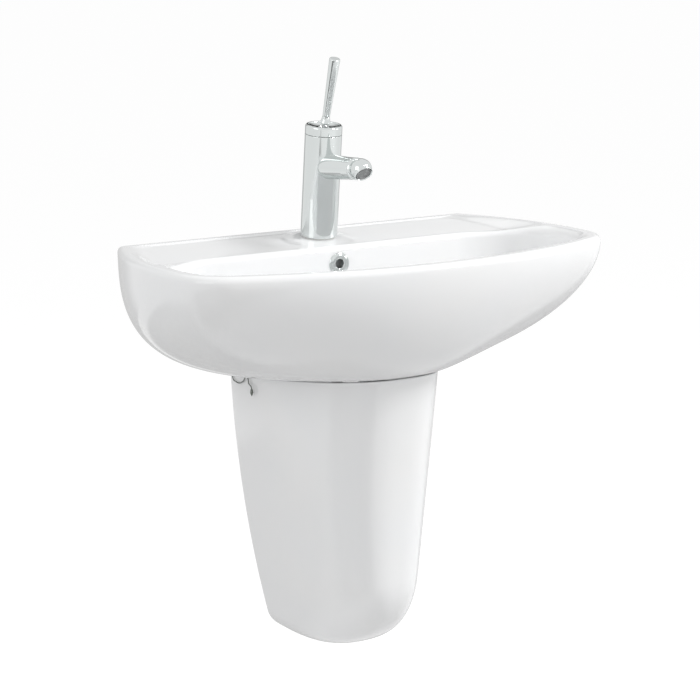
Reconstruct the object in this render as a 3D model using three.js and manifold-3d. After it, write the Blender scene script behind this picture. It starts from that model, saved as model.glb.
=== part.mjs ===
// Wall-hung ceramic washbasin with a semi-pedestal, a pin-lever mixer tap, a click-clack waste and
// a bottle trap. Millimetres, +Z up, +X to the right of someone who stands in front, the wall is the
// plane Y = 0 and the basin stands out along -Y. Zero height is the line of the two wall studs.
import * as THREE from "three";
import { mergeVertices } from "three/addons/utils/BufferGeometryUtils.js";
import Module from "manifold-3d";

const wasm = await Module();
wasm.setup();

// ---------------------------------------------------------------- driving dimensions
// Running clearance between pieces that move, and between pieces that only rest on each other.
const clearance = 0.3;

// Basin, outside
const basinWidth = 600; // over the widest line
const basinBackWidth = 518; // along the wall
const basinDepth = 377; // wall to the front of the rim
const widestFromWall = 195;
const frontArcRadius = 560;
const frontCornerRadius = 79;
const rimHeight = 85; // rim over the wall studs
const backDrop = 183; // rim to underside at the wall
const undersideRise = 0.107; // how far the underside climbs for each millimetre from the wall
const lipRadius = 8;
const sideFullness = 2.97; // superellipse exponent of the wall section at the wall
const frontFullness = 1.72; // the same at the front
const sideFlow = 0.23; // share of the wall section that runs straight to the foot, at the wall
const frontFlow = 0.18; // the same at the front
const shellWall = 12; // thickness of the outer wall and the floor
const backWall = 15; // thickness of the wall that the studs clamp

// Basin, deck and bowl
const rimWidth = 14;
const deckStep = 2; // drop from the rim to the deck at the back
const deckSlope = THREE.MathUtils.degToRad(5); // fall of the deck towards the bowl
const deckThickness = 14;
const bowlFromWall = 112;
const bowlBackCorner = 90;
const bowlRimInset = 30;
const bowlDepth = 128; // rim to the seat of the waste
const bowlWall = 10;
const bowlFloorRadius = 40;
const bowlBackFullness = 5.2;
const bowlFrontFullness = 2.2;
const accessHalfWidth = 72;
const accessDepth = 238;
const studAccessWidth = 44;
const studAccessDepth = 62;

// Semi-pedestal
const pedestalHalfWidth = 105;
const pedestalFootHalfWidth = 52;
const pedestalDepth = 271;
const pedestalFootDepth = 242;
const pedestalHeight = 368;
const pedestalCorner = 2.6; // superellipse exponent of the plan
const pedestalWidthTaper = 1.8;
const pedestalDepthTaper = 2.3;
const pedestalSweepStart = 0.65; // share of the height at which the front starts to sweep back
const pedestalSweep = 2.25;
const pedestalWall = 11;
const jointGap = 2;
const lugThickness = 14;
const lugHeight = 44;
const lugReach = 34;
const pedestalStudDrop = 215; // below the wall studs
const pedestalStudHalfSpacing = 62;
const pedestalStudRadius = 4;
const lugHoleRadius = 6.5;
const bufferLength = 14;
const bufferWidth = 7;

// Wall fixing
const studHalfSpacing = 140;
const studRadius = 5;
const studHoleRadius = 9;
const bushWall = 3;
const bushFlangeRadius = 14;
const bushFlange = 3;
const washerThickness = 2;
const nutHeight = 8;
const nutAcross = 17;
const pedestalNutAcross = 13;

// Wire clip of the semi-pedestal
const wireRadius = 0.7;
const dropRadius = 2.1;
const dropLength = 10;

// Tap
const tapFromWall = 60;
const tapLean = THREE.MathUtils.degToRad(8);
const tapHoleRadius = 17;
const tapPadRadius = 27;
const tapPadHeight = 3;
const tapRadius = 24;
const tapHeight = 148;
const capHeight = 12;
const capLip = 4; // the cap's rim round its dished rosette
const rosetteDepth = 6; // tap's top to the ledge that the rosette turns on
const sealHeight = 1.5;
const spoutHeight = 93;
const spoutRise = THREE.MathUtils.degToRad(10.5);
const spoutRootRadius = 16.2;
const spoutRadius = 14.2;
const spoutTaperEnd = 70; // tap axis to where the spout has narrowed to its end radius
const spoutBore = 8;
const spoutReach = 86.7;
const cartridgeRadius = 17.5;
const cartridgeLength = 30;
const cartridgeNutRadius = 19.7;
const cartridgeNutHeight = 10;
const spindleRadius = 8;
const leverPivotHeight = 134; // over the base of the tap
const leverLean = THREE.MathUtils.degToRad(11);
const leverStemRadius = 3;
const leverPinLength = 78;
const leverPinFootRadius = 4.8;
const leverPinTopRadius = 7;
const leverCollarRadius = 6.8;
const leverCollarHeight = 10;
const dishDepth = 2.5;
const nozzleFromAxis = 100; // tap axis to the centre of the nozzle's ball
const nozzleDip = THREE.MathUtils.degToRad(33.5); // nozzle axis below the square of the tap's axis
const nozzleRange = THREE.MathUtils.degToRad(25); // from that dip up
const nozzleRadius = 13.5;
const nozzleMouthRadius = 11.7;
const nozzleLength = 9.2; // ball centre to outlet
const nozzleRingEnd = 91.3; // tap axis to the front of the ring that holds the nozzle
const nozzleRingSpigot = 6;
const ballRadius = 5;
const ballNeckRadius = 2.2;
const ballBore = 1.4;
const aeratorRadius = 9.8;
const aeratorDepth = 3.2;
const tapStudRadius = 4;
const tapStudLength = 62;
const clampRadius = 21;

// Overflow
const overflowDrop = 33; // rim to the centre of the overflow
const overflowHoleRadius = 12;
const overflowRingRadius = 14.5;
const overflowThroat = 6;
const ductWidth = 26;
const ductDepth = 8;
const ductWall = 6;

// Waste
const wasteFromWall = 195;
const wasteHoleRadius = 22;
const wasteFlangeRadius = 32;
const wasteFlange = 2.5;
const wasteTubeRadius = 20.5;
const wasteTubeWall = 3.5;
const wasteTubeLength = 78;
const wasteBossRadius = 34;
const wasteBossThickness = 14;
const backNutAcross = 56;
const backNutHeight = 9;
const plugRadius = 31;
const plugHeight = 5;
const plugTravel = 7;
const plugStemRadius = 4;

// Trap
const pipeRadius = 16;
const pipeWall = 2;
const trapHeadRadius = 24;
const trapHeadHeight = 58;
const trapDrop = 52; // end of the waste's tube to the top of the trap's head
const trapCupRadius = 31;
const trapCupHeight = 76;
const trapNutRadius = 25;
const trapNutHeight = 22;
const wallFlangeRadius = 34;
const wallFlangeDepth = 9;

// Facets
const roundSides = 24;
const smallSides = 16;
const outlineSteps = 44;
const wallSteps = 8;
const pedestalSteps = 32;

// ---------------------------------------------------------------- materials
const palette = {
  ceramic: { color: 0xf4f5f6, roughness: 0.12, metalness: 0 },
  chrome: { color: 0xd5d9da, roughness: 0.08, metalness: 1 },
  mesh: { color: 0x7c8080, roughness: 0.5, metalness: 0.6 },
  brass: { color: 0xb8924a, roughness: 0.35, metalness: 1 },
  steel: { color: 0xa9adb0, roughness: 0.35, metalness: 1 },
  rubber: { color: 0x1d1e1f, roughness: 0.8, metalness: 0 },
  whitePlastic: { color: 0xe9e9e6, roughness: 0.4, metalness: 0 },
  greyPlastic: { color: 0x8b8f92, roughness: 0.45, metalness: 0 },
};

// ---------------------------------------------------------------- helpers
// A geometry of three.js as a solid that can be cut and joined; faces that point in are turned.
function solidOf(geometry, matrix) {
  const bare = geometry.clone();
  bare.deleteAttribute("normal");
  bare.deleteAttribute("uv");
  if (matrix) bare.applyMatrix4(matrix);
  const merged = mergeVertices(bare, 1e-4);
  const corners = merged.index.array;
  const kept = [];
  for (let i = 0; i < corners.length; i += 3) {
    const [a, b, c] = corners.slice(i, i + 3);
    if (a !== b && b !== c && a !== c) kept.push(a, b, c);
  }
  const make = (triVerts) =>
    new wasm.Manifold(
      new wasm.Mesh({
        numProp: 3,
        vertProperties: new Float32Array(merged.attributes.position.array),
        triVerts: new Uint32Array(triVerts),
      }),
    );
  const made = make(kept);
  return made.volume() < 0 ? make(kept.reverse()) : made;
}

// A solid as a named mesh in its own material.
function meshOf(name, material, solid) {
  const { vertProperties, triVerts } = solid.getMesh();
  const geometry = new THREE.BufferGeometry();
  geometry.setAttribute("position", new THREE.BufferAttribute(vertProperties, 3));
  geometry.setIndex(new THREE.BufferAttribute(triVerts, 1));
  geometry.computeVertexNormals();
  const mesh = new THREE.Mesh(geometry, new THREE.MeshStandardMaterial(palette[material]));
  mesh.name = name;
  return mesh;
}

// A turned piece about the Z axis; profile is a list of [radius, height].
function turned(profile, sides = smallSides) {
  const points = profile.map(([r, z]) => new THREE.Vector2(r, z));
  return solidOf(new THREE.LatheGeometry(points, sides).rotateX(Math.PI / 2));
}

// A plain round bar, and a ring with a bore, between two heights.
const bar = (radius, low, high, sides = smallSides) =>
  turned([[0, low], [radius, low], [radius, high], [0, high]], sides);
const ring = (inner, outer, low, high, sides = smallSides) =>
  turned([[inner, low], [outer, low], [outer, high], [inner, high], [inner, low]], sides);

// A block between two corners.
function block(low, high) {
  const size = new THREE.Vector3().subVectors(high, low);
  const middle = new THREE.Vector3().addVectors(low, high).multiplyScalar(0.5);
  const box = new THREE.BoxGeometry(size.x, size.y, size.z);
  return solidOf(box.translate(middle.x, middle.y, middle.z));
}

// A hexagonal nut with a bore, between two heights.
function hexNut(across, bore, low, high, sides = smallSides) {
  const hexagon = new THREE.CylinderGeometry(across / Math.sqrt(3), across / Math.sqrt(3), high - low, 6);
  const outside = solidOf(hexagon.rotateX(Math.PI / 2).translate(0, 0, (low + high) / 2));
  return outside.subtract(bar(bore, low - 1, high + 1, sides));
}

const at = (x, y, z) => new THREE.Matrix4().makeTranslation(x, y, z);
const placed = (solid, matrix) => solid.transform(matrix.toArray());

// Turns a piece made along +Z so that its +Z points out of the wall, along -Y.
const outOfWall = new THREE.Matrix4().makeRotationX(Math.PI / 2);

// Stacks closed rings of equal length, each counter-clockwise from above, from the bottom up.
function loft(rings) {
  const count = rings[0].length;
  const positions = rings.flatMap((points) => points.flatMap((p) => [p.x, p.y, p.z]));
  const index = [];
  for (let i = 0; i + 1 < rings.length; i++) {
    for (let j = 0; j < count; j++) {
      const next = (j + 1) % count;
      const [a, b] = [i * count + j, i * count + next];
      const [c, d] = [a + count, b + count];
      index.push(a, b, d, a, d, c);
    }
  }
  const cap = (points) => THREE.ShapeUtils.triangulateShape(points.map((p) => new THREE.Vector2(p.x, p.y)), []);
  const top = (rings.length - 1) * count;
  cap(rings[0]).forEach(([a, b, c]) => index.push(a, c, b));
  cap(rings.at(-1)).forEach(([a, b, c]) => index.push(top + a, top + b, top + c));
  const geometry = new THREE.BufferGeometry();
  geometry.setAttribute("position", new THREE.Float32BufferAttribute(positions, 3));
  geometry.setIndex(index);
  return solidOf(geometry);
}

// ---------------------------------------------------------------- plan of the basin
// Half a superellipse that stands out along -Y, from its left end round the front to its right. It
// starts at a distance from the wall and reaches to its depth, which is measured from the wall.
class WallOval extends THREE.Curve {
  constructor(halfWidth, depth, exponent, fromWall = 0) {
    super();
    Object.assign(this, { halfWidth, depth, exponent, fromWall });
  }
  getPoint(share, target = new THREE.Vector2()) {
    const angle = Math.PI * share;
    const cos = Math.cos(angle);
    const power = 2 / this.exponent;
    return target.set(
      -this.halfWidth * Math.sign(cos) * Math.abs(cos) ** power,
      -this.fromWall - (this.depth - this.fromWall) * Math.abs(Math.sin(angle)) ** power,
    );
  }
}

// The rim's plan is five arcs: two bulging sides, two front corners and one flat front. An inset
// plan keeps the arcs' centres, so it runs parallel to the rim.
function rimArcs(inset) {
  const bulge = (basinWidth - basinBackWidth) / 2;
  const sideRadius = (bulge ** 2 + widestFromWall ** 2) / (2 * bulge);
  const side = new THREE.Vector2(basinWidth / 2 - sideRadius, -widestFromWall);
  const front = new THREE.Vector2(0, frontArcRadius - basinDepth);
  const toSide = sideRadius - frontCornerRadius;
  const toFront = frontArcRadius - frontCornerRadius;
  const between = new THREE.Vector2().subVectors(front, side);
  const apart = between.length();
  const along = (toSide ** 2 - toFront ** 2 + apart ** 2) / (2 * apart);
  const across = Math.sqrt(toSide ** 2 - along ** 2);
  between.divideScalar(apart);
  const corner = new THREE.Vector2(between.y, -between.x)
    .multiplyScalar(across)
    .addScaledVector(between, along)
    .add(side);
  const sideToCorner = Math.atan2(corner.y - side.y, corner.x - side.x);
  const cornerToFront = Math.atan2(corner.y - front.y, corner.x - front.x);
  return {
    side,
    corner,
    front,
    sideRadius: sideRadius - inset,
    cornerRadius: frontCornerRadius - inset,
    frontRadius: frontArcRadius - inset,
    sideToCorner,
    cornerToFront,
  };
}

// Adds the arcs to a path, from the left side at sideStart, an angle of the right-hand side arc.
function addArcs(path, arcs, sideStart) {
  const { side, corner, front, sideToCorner, cornerToFront } = arcs;
  const mirrored = (angle) => -Math.PI - angle;
  path.absarc(-side.x, side.y, arcs.sideRadius, mirrored(sideStart), mirrored(sideToCorner), false);
  path.absarc(-corner.x, corner.y, arcs.cornerRadius, mirrored(sideToCorner), mirrored(cornerToFront), false);
  path.absarc(front.x, front.y, arcs.frontRadius, mirrored(cornerToFront), cornerToFront, false);
  path.absarc(corner.x, corner.y, arcs.cornerRadius, cornerToFront, sideToCorner, false);
  path.absarc(side.x, side.y, arcs.sideRadius, sideToCorner, sideStart, false);
  return path;
}

// The rim's plan at an inset, open along a line in front of the wall.
function rimPlan(inset, fromWall) {
  const arcs = rimArcs(inset);
  const sideStart = Math.asin((widestFromWall - fromWall) / arcs.sideRadius);
  return addArcs(new THREE.Path(), arcs, sideStart).getSpacedPoints(outlineSteps);
}

// The bowl's plan: the rim's arcs, closed by a straight back with round corners.
function bowlPlan(inset, fromWall, cornerRadius) {
  const arcs = rimArcs(inset);
  const cornerY = -fromWall - cornerRadius;
  const reach = arcs.sideRadius - cornerRadius;
  const cornerX = arcs.side.x + Math.sqrt(reach ** 2 - (cornerY - arcs.side.y) ** 2);
  const sideStart = Math.atan2(cornerY - arcs.side.y, cornerX - arcs.side.x);
  const path = new THREE.Path();
  path.moveTo(0, -fromWall);
  path.lineTo(-cornerX, -fromWall);
  path.absarc(-cornerX, cornerY, cornerRadius, Math.PI / 2, Math.PI - sideStart, false);
  addArcs(path, arcs, sideStart);
  path.absarc(cornerX, cornerY, cornerRadius, sideStart, Math.PI / 2, false);
  path.lineTo(0, -fromWall);
  return path.getSpacedPoints(outlineSteps + 8).slice(0, -1);
}

const smooth = (value) => value * value * (3 - 2 * value);

// ---------------------------------------------------------------- basin
const undersideAt = (y) => rimHeight - backDrop - undersideRise * y;

// The basin's outer form, or, with an inset wall, the hollow inside it. Each vertical section runs
// from the rim to the foot as a superellipse blended with a straight fall.
function basinForm(inset, backInset) {
  const rim = rimPlan(inset, backInset);
  const footDepth = pedestalDepth + 8 - inset;
  const foot = new WallOval(pedestalHalfWidth + 1 - inset, footDepth, pedestalCorner, backInset)
    .getSpacedPoints(outlineSteps);
  const lip = inset ? inset : lipRadius;
  const section = (turn) =>
    rim.map((outer, i) => {
      const inner = foot[i];
      const front = THREE.MathUtils.clamp(-outer.y / basinDepth, 0, 1);
      const power = 2 / THREE.MathUtils.lerp(sideFullness, frontFullness, smooth(front));
      const flow = THREE.MathUtils.lerp(sideFlow, frontFlow, front);
      const reach = Math.cos(turn) ** power;
      const fall = (1 - flow) * Math.sin(turn) ** power + flow * (1 - reach);
      const lowest = undersideAt(inner.y) + inset;
      const point = new THREE.Vector2().lerpVectors(inner, outer, reach);
      return new THREE.Vector3(point.x, point.y, THREE.MathUtils.lerp(rimHeight - lip, lowest, fall));
    });
  const rings = [];
  for (let i = wallSteps; i >= 0; i--) rings.push(section((i / wallSteps) * (Math.PI / 2) * 0.9999));
  if (inset) return loft(rings);
  const rounded = (share) => {
    const angle = share * (Math.PI / 2);
    const plan = rimPlan(lipRadius * (1 - Math.cos(angle)), 0);
    const height = rimHeight - lipRadius * (1 - Math.sin(angle));
    return plan.map((p) => new THREE.Vector3(p.x, p.y, height));
  };
  return loft([...rings, rounded(1 / 3), rounded(2 / 3), rounded(1)]);
}

// The bowl as a solid to cut, or, grown by its wall, the body round it.
function bowlForm(grow) {
  const rim = bowlPlan(bowlRimInset - grow, bowlFromWall - grow, bowlBackCorner + grow);
  const floorAngle = (p) => Math.atan2(p.y + wasteFromWall, p.x);
  const section = (turn) =>
    rim.map((outer) => {
      const angle = floorAngle(outer);
      const radius = bowlFloorRadius + grow;
      const inner = new THREE.Vector2(radius * Math.cos(angle), radius * Math.sin(angle) - wasteFromWall);
      const front = smooth(THREE.MathUtils.clamp((-outer.y - bowlFromWall) / bowlBackCorner, 0, 1));
      const power = 2 / THREE.MathUtils.lerp(bowlBackFullness, bowlFrontFullness, front);
      const reach = Math.cos(turn) ** power;
      const fall = Math.sin(turn) ** power;
      const point = new THREE.Vector2().lerpVectors(inner, outer, reach);
      const lowest = rimHeight - bowlDepth - grow;
      return new THREE.Vector3(point.x, point.y, THREE.MathUtils.lerp(rimHeight + 1, lowest, fall));
    });
  const rings = [];
  for (let i = wallSteps; i >= 0; i--) rings.push(section((i / wallSteps) * (Math.PI / 2)));
  return loft(rings);
}

// A closed plan between two heights that may change with the distance from the wall.
function between(plan, lowAt, highAt) {
  const ringAt = (heightAt) => plan.map((p) => new THREE.Vector3(p.x, p.y, heightAt(p.y)));
  return loft([ringAt(lowAt), ringAt(highAt)]);
}

const deckAt = (y) => rimHeight - deckStep + (y + rimWidth) * Math.tan(deckSlope);
const tapBase = new THREE.Vector3(0, -tapFromWall, deckAt(-tapFromWall) + tapPadHeight);
const tapPlace = new THREE.Matrix4().makeTranslation(tapBase).multiply(new THREE.Matrix4().makeRotationX(tapLean));
const wasteSeat = rimHeight - bowlDepth;
const overflowHeight = rimHeight - overflowDrop;

// The closed hollow under the deck and round the bowl, open downwards.
function basinHollow() {
  const deckSlab = between(
    rimPlan(0, 0),
    (y) => deckAt(y) - deckThickness,
    () => rimHeight + 1,
  );
  const ductBack = bowlFromWall - bowlWall - ductDepth - ductWall;
  const half = ductWidth / 2 + ductWall;
  const ductFoot = wasteSeat - wasteBossThickness;
  const duct = block(
    new THREE.Vector3(-half, -bowlFromWall, ductFoot),
    new THREE.Vector3(half, -ductBack, rimHeight - deckStep),
  );
  const ductFloor = block(
    new THREE.Vector3(-half, -wasteFromWall, ductFoot),
    new THREE.Vector3(half, -ductBack, wasteSeat),
  );
  const boss = placed(bar(wasteBossRadius, ductFoot, wasteSeat, roundSides), at(0, -wasteFromWall, 0));
  return basinForm(shellWall, backWall)
    .subtract(deckSlab)
    .subtract(bowlForm(bowlWall))
    .subtract(duct.add(ductFloor).add(boss));
}

// The water's way from the overflow down behind the bowl and under it to the waste.
function overflowChannel() {
  const back = -(bowlFromWall - bowlWall - ductDepth);
  const front = -(bowlFromWall - bowlWall);
  const low = wasteSeat - wasteBossThickness + 4;
  const high = low + 6;
  const shaft = block(
    new THREE.Vector3(-ductWidth / 2, front, low),
    new THREE.Vector3(ductWidth / 2, back, overflowHeight + overflowHoleRadius),
  );
  const floor = block(
    new THREE.Vector3(-ductWidth / 2, -wasteFromWall, low),
    new THREE.Vector3(ductWidth / 2, back, high),
  );
  const mouth = placed(
    bar(overflowHoleRadius, 0, bowlWall * 2, roundSides),
    at(0, back - 1, overflowHeight).multiply(outOfWall),
  );
  return shaft.add(floor).add(mouth);
}

function basin() {
  const recess = (floorAt) => between(rimPlan(rimWidth, rimWidth), floorAt, () => rimHeight + 1);
  const deckRecess = recess(deckAt).intersect(recess(() => deckAt(-bowlFromWall)));
  const tapPad = placed(bar(tapPadRadius, -deckThickness / 2, 0, roundSides), tapPlace);
  const tapHole = placed(bar(tapHoleRadius, -2 * deckThickness, 5, roundSides), tapPlace);
  const floorTop = (y) => undersideAt(y) + shellWall + 1;
  const below = (y) => undersideAt(y) - 1;
  const access = between(
    new WallOval(accessHalfWidth, accessDepth, pedestalCorner, backWall).getSpacedPoints(pedestalSteps),
    below,
    floorTop,
  );
  const wasteHole = bar(wasteHoleRadius, wasteSeat - 2 * wasteBossThickness, wasteSeat + 1, roundSides);
  const wasteRecess = bar(wasteFlangeRadius + 1, wasteSeat - wasteFlange, wasteSeat + 1, roundSides);
  let made = basinForm(0, 0)
    .subtract(deckRecess)
    .add(tapPad)
    .subtract(bowlForm(0))
    .subtract(basinHollow())
    .subtract(access)
    .subtract(tapHole)
    .subtract(overflowChannel())
    .subtract(placed(wasteHole.add(wasteRecess), at(0, -wasteFromWall, 0)));
  for (const side of [-1, 1]) {
    const x = side * studHalfSpacing;
    const hole = bar(studHoleRadius, -1, backWall + 1);
    const opening = block(
      new THREE.Vector3(x - studAccessWidth / 2, -backWall - studAccessDepth, undersideAt(0) - 1),
      new THREE.Vector3(x + studAccessWidth / 2, -backWall, -rimHeight / 3),
    );
    made = made.subtract(placed(hole, at(x, 0, 0).multiply(outOfWall))).subtract(opening);
  }
  return made;
}

// ---------------------------------------------------------------- semi-pedestal
// A shell whose plan is half a superellipse; it narrows downwards, and its front sweeps back to the
// wall at the foot. An inset form is the hollow inside, which is open at the wall and at the top.
function pedestalForm(inset) {
  const top = rimHeight - backDrop - jointGap;
  const height = pedestalHeight - jointGap - inset;
  const rings = [];
  const shares = [-0.12, 0.1, 0.25, 0.4, 0.55, 0.65, 0.74, 0.82, 0.89, 0.94, 0.97, 0.988, 0.998];
  for (const share of shares) {
    const taper = Math.max(share, 0) ** pedestalWidthTaper;
    const swept = Math.max((share - pedestalSweepStart) / (1 - pedestalSweepStart), 0);
    const sweep = (1 - swept ** pedestalSweep) ** (1 / pedestalSweep);
    const edge = (1 - Math.max((share - 0.96) / 0.04, 0) ** 2) ** 0.5;
    const halfWidth =
      THREE.MathUtils.lerp(pedestalHalfWidth - inset, pedestalFootHalfWidth - inset, taper) * Math.max(edge, 0.6);
    const depth =
      (pedestalFootDepth - inset + (pedestalDepth - pedestalFootDepth) * (1 - share) ** pedestalDepthTaper) * sweep;
    const plan = new WallOval(halfWidth, depth, pedestalCorner).getSpacedPoints(pedestalSteps);
    const open = inset ? 1 : 0;
    rings.unshift(plan.map((p) => new THREE.Vector3(p.x, p.y === 0 ? open : p.y, top - share * height)));
  }
  return loft(rings);
}

function pedestal() {
  const top = (y) => undersideAt(y) - jointGap;
  const around = [
    new THREE.Vector2(-basinWidth, -basinDepth),
    new THREE.Vector2(basinWidth, -basinDepth),
    new THREE.Vector2(basinWidth, 2),
    new THREE.Vector2(-basinWidth, 2),
  ];
  const above = between(around, top, () => rimHeight);
  let made = pedestalForm(0).subtract(pedestalForm(pedestalWall));
  for (const side of [-1, 1]) {
    const inner = pedestalStudHalfSpacing - lugReach / 2;
    const outer = pedestalStudHalfSpacing + lugReach;
    const low = -pedestalStudDrop - lugHeight / 2;
    const lug = block(
      new THREE.Vector3(Math.min(side * inner, side * outer), -lugThickness, low),
      new THREE.Vector3(Math.max(side * inner, side * outer), 0, low + lugHeight),
    );
    const hole = placed(
      bar(lugHoleRadius, -1, lugThickness + 1),
      at(side * pedestalStudHalfSpacing, 0, -pedestalStudDrop).multiply(outOfWall),
    );
    made = made.add(lug.intersect(pedestalForm(0))).subtract(hole);
  }
  return made.subtract(above);
}

// Rubber buffers lie on the middle of the pedestal's top edge.
function buffer(share) {
  const edge = new WallOval(pedestalHalfWidth - pedestalWall / 2, pedestalDepth - pedestalWall / 2, pedestalCorner);
  const centre = edge.getPointAt(share);
  const direction = edge.getTangentAt(share);
  const across = new THREE.Vector2(-direction.y, direction.x);
  const corner = (l, w) =>
    centre
      .clone()
      .addScaledVector(direction, (l * bufferLength) / 2)
      .addScaledVector(across, (w * bufferWidth) / 2);
  return between(
    [corner(-1, -1), corner(1, -1), corner(1, 1), corner(-1, 1)],
    (y) => undersideAt(y) - jointGap + clearance,
    (y) => undersideAt(y) - clearance,
  );
}

// ---------------------------------------------------------------- fixings
// One set of wall fixing along +Z out of the wall: each piece stacks on the one before.
function fixing({ radius, wall, hole, across, length, bush }) {
  const seat = wall + clearance;
  const washerSeat = bush ? seat + bushFlange + clearance : seat;
  const nutSeat = washerSeat + washerThickness + clearance;
  const pieces = {
    stud: bar(radius, 0, length),
    washer: ring(radius + clearance, across * 0.75, washerSeat, washerSeat + washerThickness),
    nut: hexNut(across, radius + clearance, nutSeat, nutSeat + nutHeight),
  };
  if (bush) {
    pieces.bush = turned([
      [radius + clearance, 1],
      [hole - clearance, 1],
      [hole - clearance, seat],
      [bushFlangeRadius, seat],
      [bushFlangeRadius, seat + bushFlange],
      [radius + clearance, seat + bushFlange],
      [radius + clearance, 1],
    ]);
  }
  return pieces;
}

// ---------------------------------------------------------------- wire clip
// A path through corners, each given as x, y, z and the length that its bend takes.
function bentPath(corners) {
  const path = new THREE.CurvePath();
  const points = corners.map(([x, y, z]) => new THREE.Vector3(x, y, z));
  let from = points[0];
  for (let i = 1; i + 1 < points.length; i++) {
    const bend = corners[i][3];
    const into = new THREE.Vector3().subVectors(points[i], points[i - 1]).setLength(bend);
    const out = new THREE.Vector3().subVectors(points[i + 1], points[i]).setLength(bend);
    const start = points[i].clone().sub(into);
    const end = points[i].clone().add(out);
    path.add(new THREE.LineCurve3(from, start));
    path.add(new THREE.QuadraticBezierCurve3(start, points[i], end));
    from = end;
  }
  path.add(new THREE.LineCurve3(from, points.at(-1)));
  return path;
}

function wire(corners, steps) {
  const section = new THREE.Shape().absarc(0, 0, wireRadius, 0, 2 * Math.PI, false);
  const extrudePath = bentPath(corners);
  return solidOf(new THREE.ExtrudeGeometry(section, { curveSegments: 3, steps, extrudePath }));
}

// The clip hooks over the pedestal's left edge by the wall: a bow hangs outside, and a tail with a
// drop-shaped pull hangs beside it.
const hookBend = 1.2;
const clipOutside = -pedestalHalfWidth - wireRadius - 1;
const clipInside = -pedestalHalfWidth + pedestalWall + wireRadius + 2;
const clipLine = (y) => undersideAt(y) - jointGap / 2;

function clipBow() {
  const [back, front] = [-7, -47];
  const leg = 10;
  return wire(
    [
      [clipInside, back, clipLine(back) - leg],
      [clipInside, back, clipLine(back), hookBend],
      [clipOutside, back, clipLine(back), hookBend],
      [clipOutside, back - 5, clipLine(back) - 7.5, 3],
      [clipOutside, back - 21, clipLine(back) - 9, 5],
      [clipOutside, front + 6, clipLine(front) - 7.5, 3],
      [clipOutside, front, clipLine(front), hookBend],
      [clipInside, front, clipLine(front), hookBend],
      [clipInside, front, clipLine(front) - leg],
    ],
    64,
  );
}

const tailFrom = -53;
const tailEnd = new THREE.Vector3(clipOutside - 1, tailFrom - 12, clipLine(tailFrom) - 17);

function clipTail() {
  return wire(
    [
      [clipInside, tailFrom, clipLine(tailFrom) - 10],
      [clipInside, tailFrom, clipLine(tailFrom), hookBend],
      [clipOutside, tailFrom, clipLine(tailFrom), hookBend],
      [clipOutside, tailFrom - 2, clipLine(tailFrom) - 9, 2],
      [tailEnd.x, tailEnd.y, clipLine(tailFrom) - 12, 2],
      [tailEnd.x, tailEnd.y, tailEnd.z],
    ],
    36,
  );
}

function clipDrop() {
  const socket = wireRadius + clearance;
  const top = 2.5;
  return placed(
    turned([
      [0, top - dropLength],
      [dropRadius * 0.6, top - dropLength * 0.75],
      [dropRadius, top - dropLength * 0.5],
      [dropRadius * 0.8, top - dropLength * 0.2],
      [socket + 0.3, top],
      [socket, top],
      [socket, -clearance],
      [0, -clearance],
    ]),
    at(tailEnd.x, tailEnd.y, tailEnd.z),
  );
}

// ---------------------------------------------------------------- tap
// Pieces of the tap stand on its own base, with +Z along the body and -Y along the spout.
const spoutPlace = at(0, 0, spoutHeight).multiply(
  new THREE.Matrix4().makeRotationX(Math.PI / 2 - spoutRise),
);
const nozzlePlace = spoutPlace
  .clone()
  .multiply(at(0, 0, nozzleFromAxis))
  .multiply(new THREE.Matrix4().makeRotationX(spoutRise + nozzleDip));
const bodyTop = tapHeight - capHeight - clearance;
const bodyFoot = sealHeight + 2 * clearance;
const chamberFloor = bodyTop - cartridgeNutHeight - clearance - cartridgeLength;
const ringSpigotRadius = spoutBore + 2;

function tapBody() {
  const shell = turned(
    [
      [0, bodyFoot],
      [tapRadius - 0.8, bodyFoot],
      [tapRadius, bodyFoot + 0.8],
      [tapRadius, bodyTop],
      [0, bodyTop],
    ],
    roundSides,
  );
  const spoutForm = turned(
    [
      [0, 0],
      [spoutRootRadius, 0],
      [spoutRootRadius, tapRadius - 4],
      [spoutRadius, spoutTaperEnd],
      [spoutRadius, spoutReach],
      [0, spoutReach],
    ],
    roundSides,
  );
  const spout = placed(spoutForm, spoutPlace);
  const spigotSeat = placed(
    bar(ringSpigotRadius + clearance, spoutReach - nozzleRingSpigot - clearance, spoutReach + 1, roundSides),
    spoutPlace,
  );
  const waterway = placed(bar(spoutBore, 2, spoutReach, roundSides), spoutPlace);
  const chamber = bar(cartridgeRadius + clearance, chamberFloor - clearance, bodyTop + 1, roundSides);
  const nutSeat = bar(cartridgeNutRadius + clearance, bodyTop - cartridgeNutHeight, bodyTop + 1, roundSides);
  const studHole = bar(tapStudRadius + clearance, bodyFoot - 1, bodyFoot + 16);
  let made = shell.add(spout).subtract(spigotSeat).subtract(waterway).subtract(chamber).subtract(nutSeat);
  made = made.subtract(placed(studHole, at(0, tapRadius / 3, 0)));
  for (const side of [-1, 1]) {
    const inlet = bar(5, bodyFoot - 1, bodyFoot + 24);
    made = made.subtract(placed(inlet, at(side * 7.5, -4, 0)));
  }
  return made;
}

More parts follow.
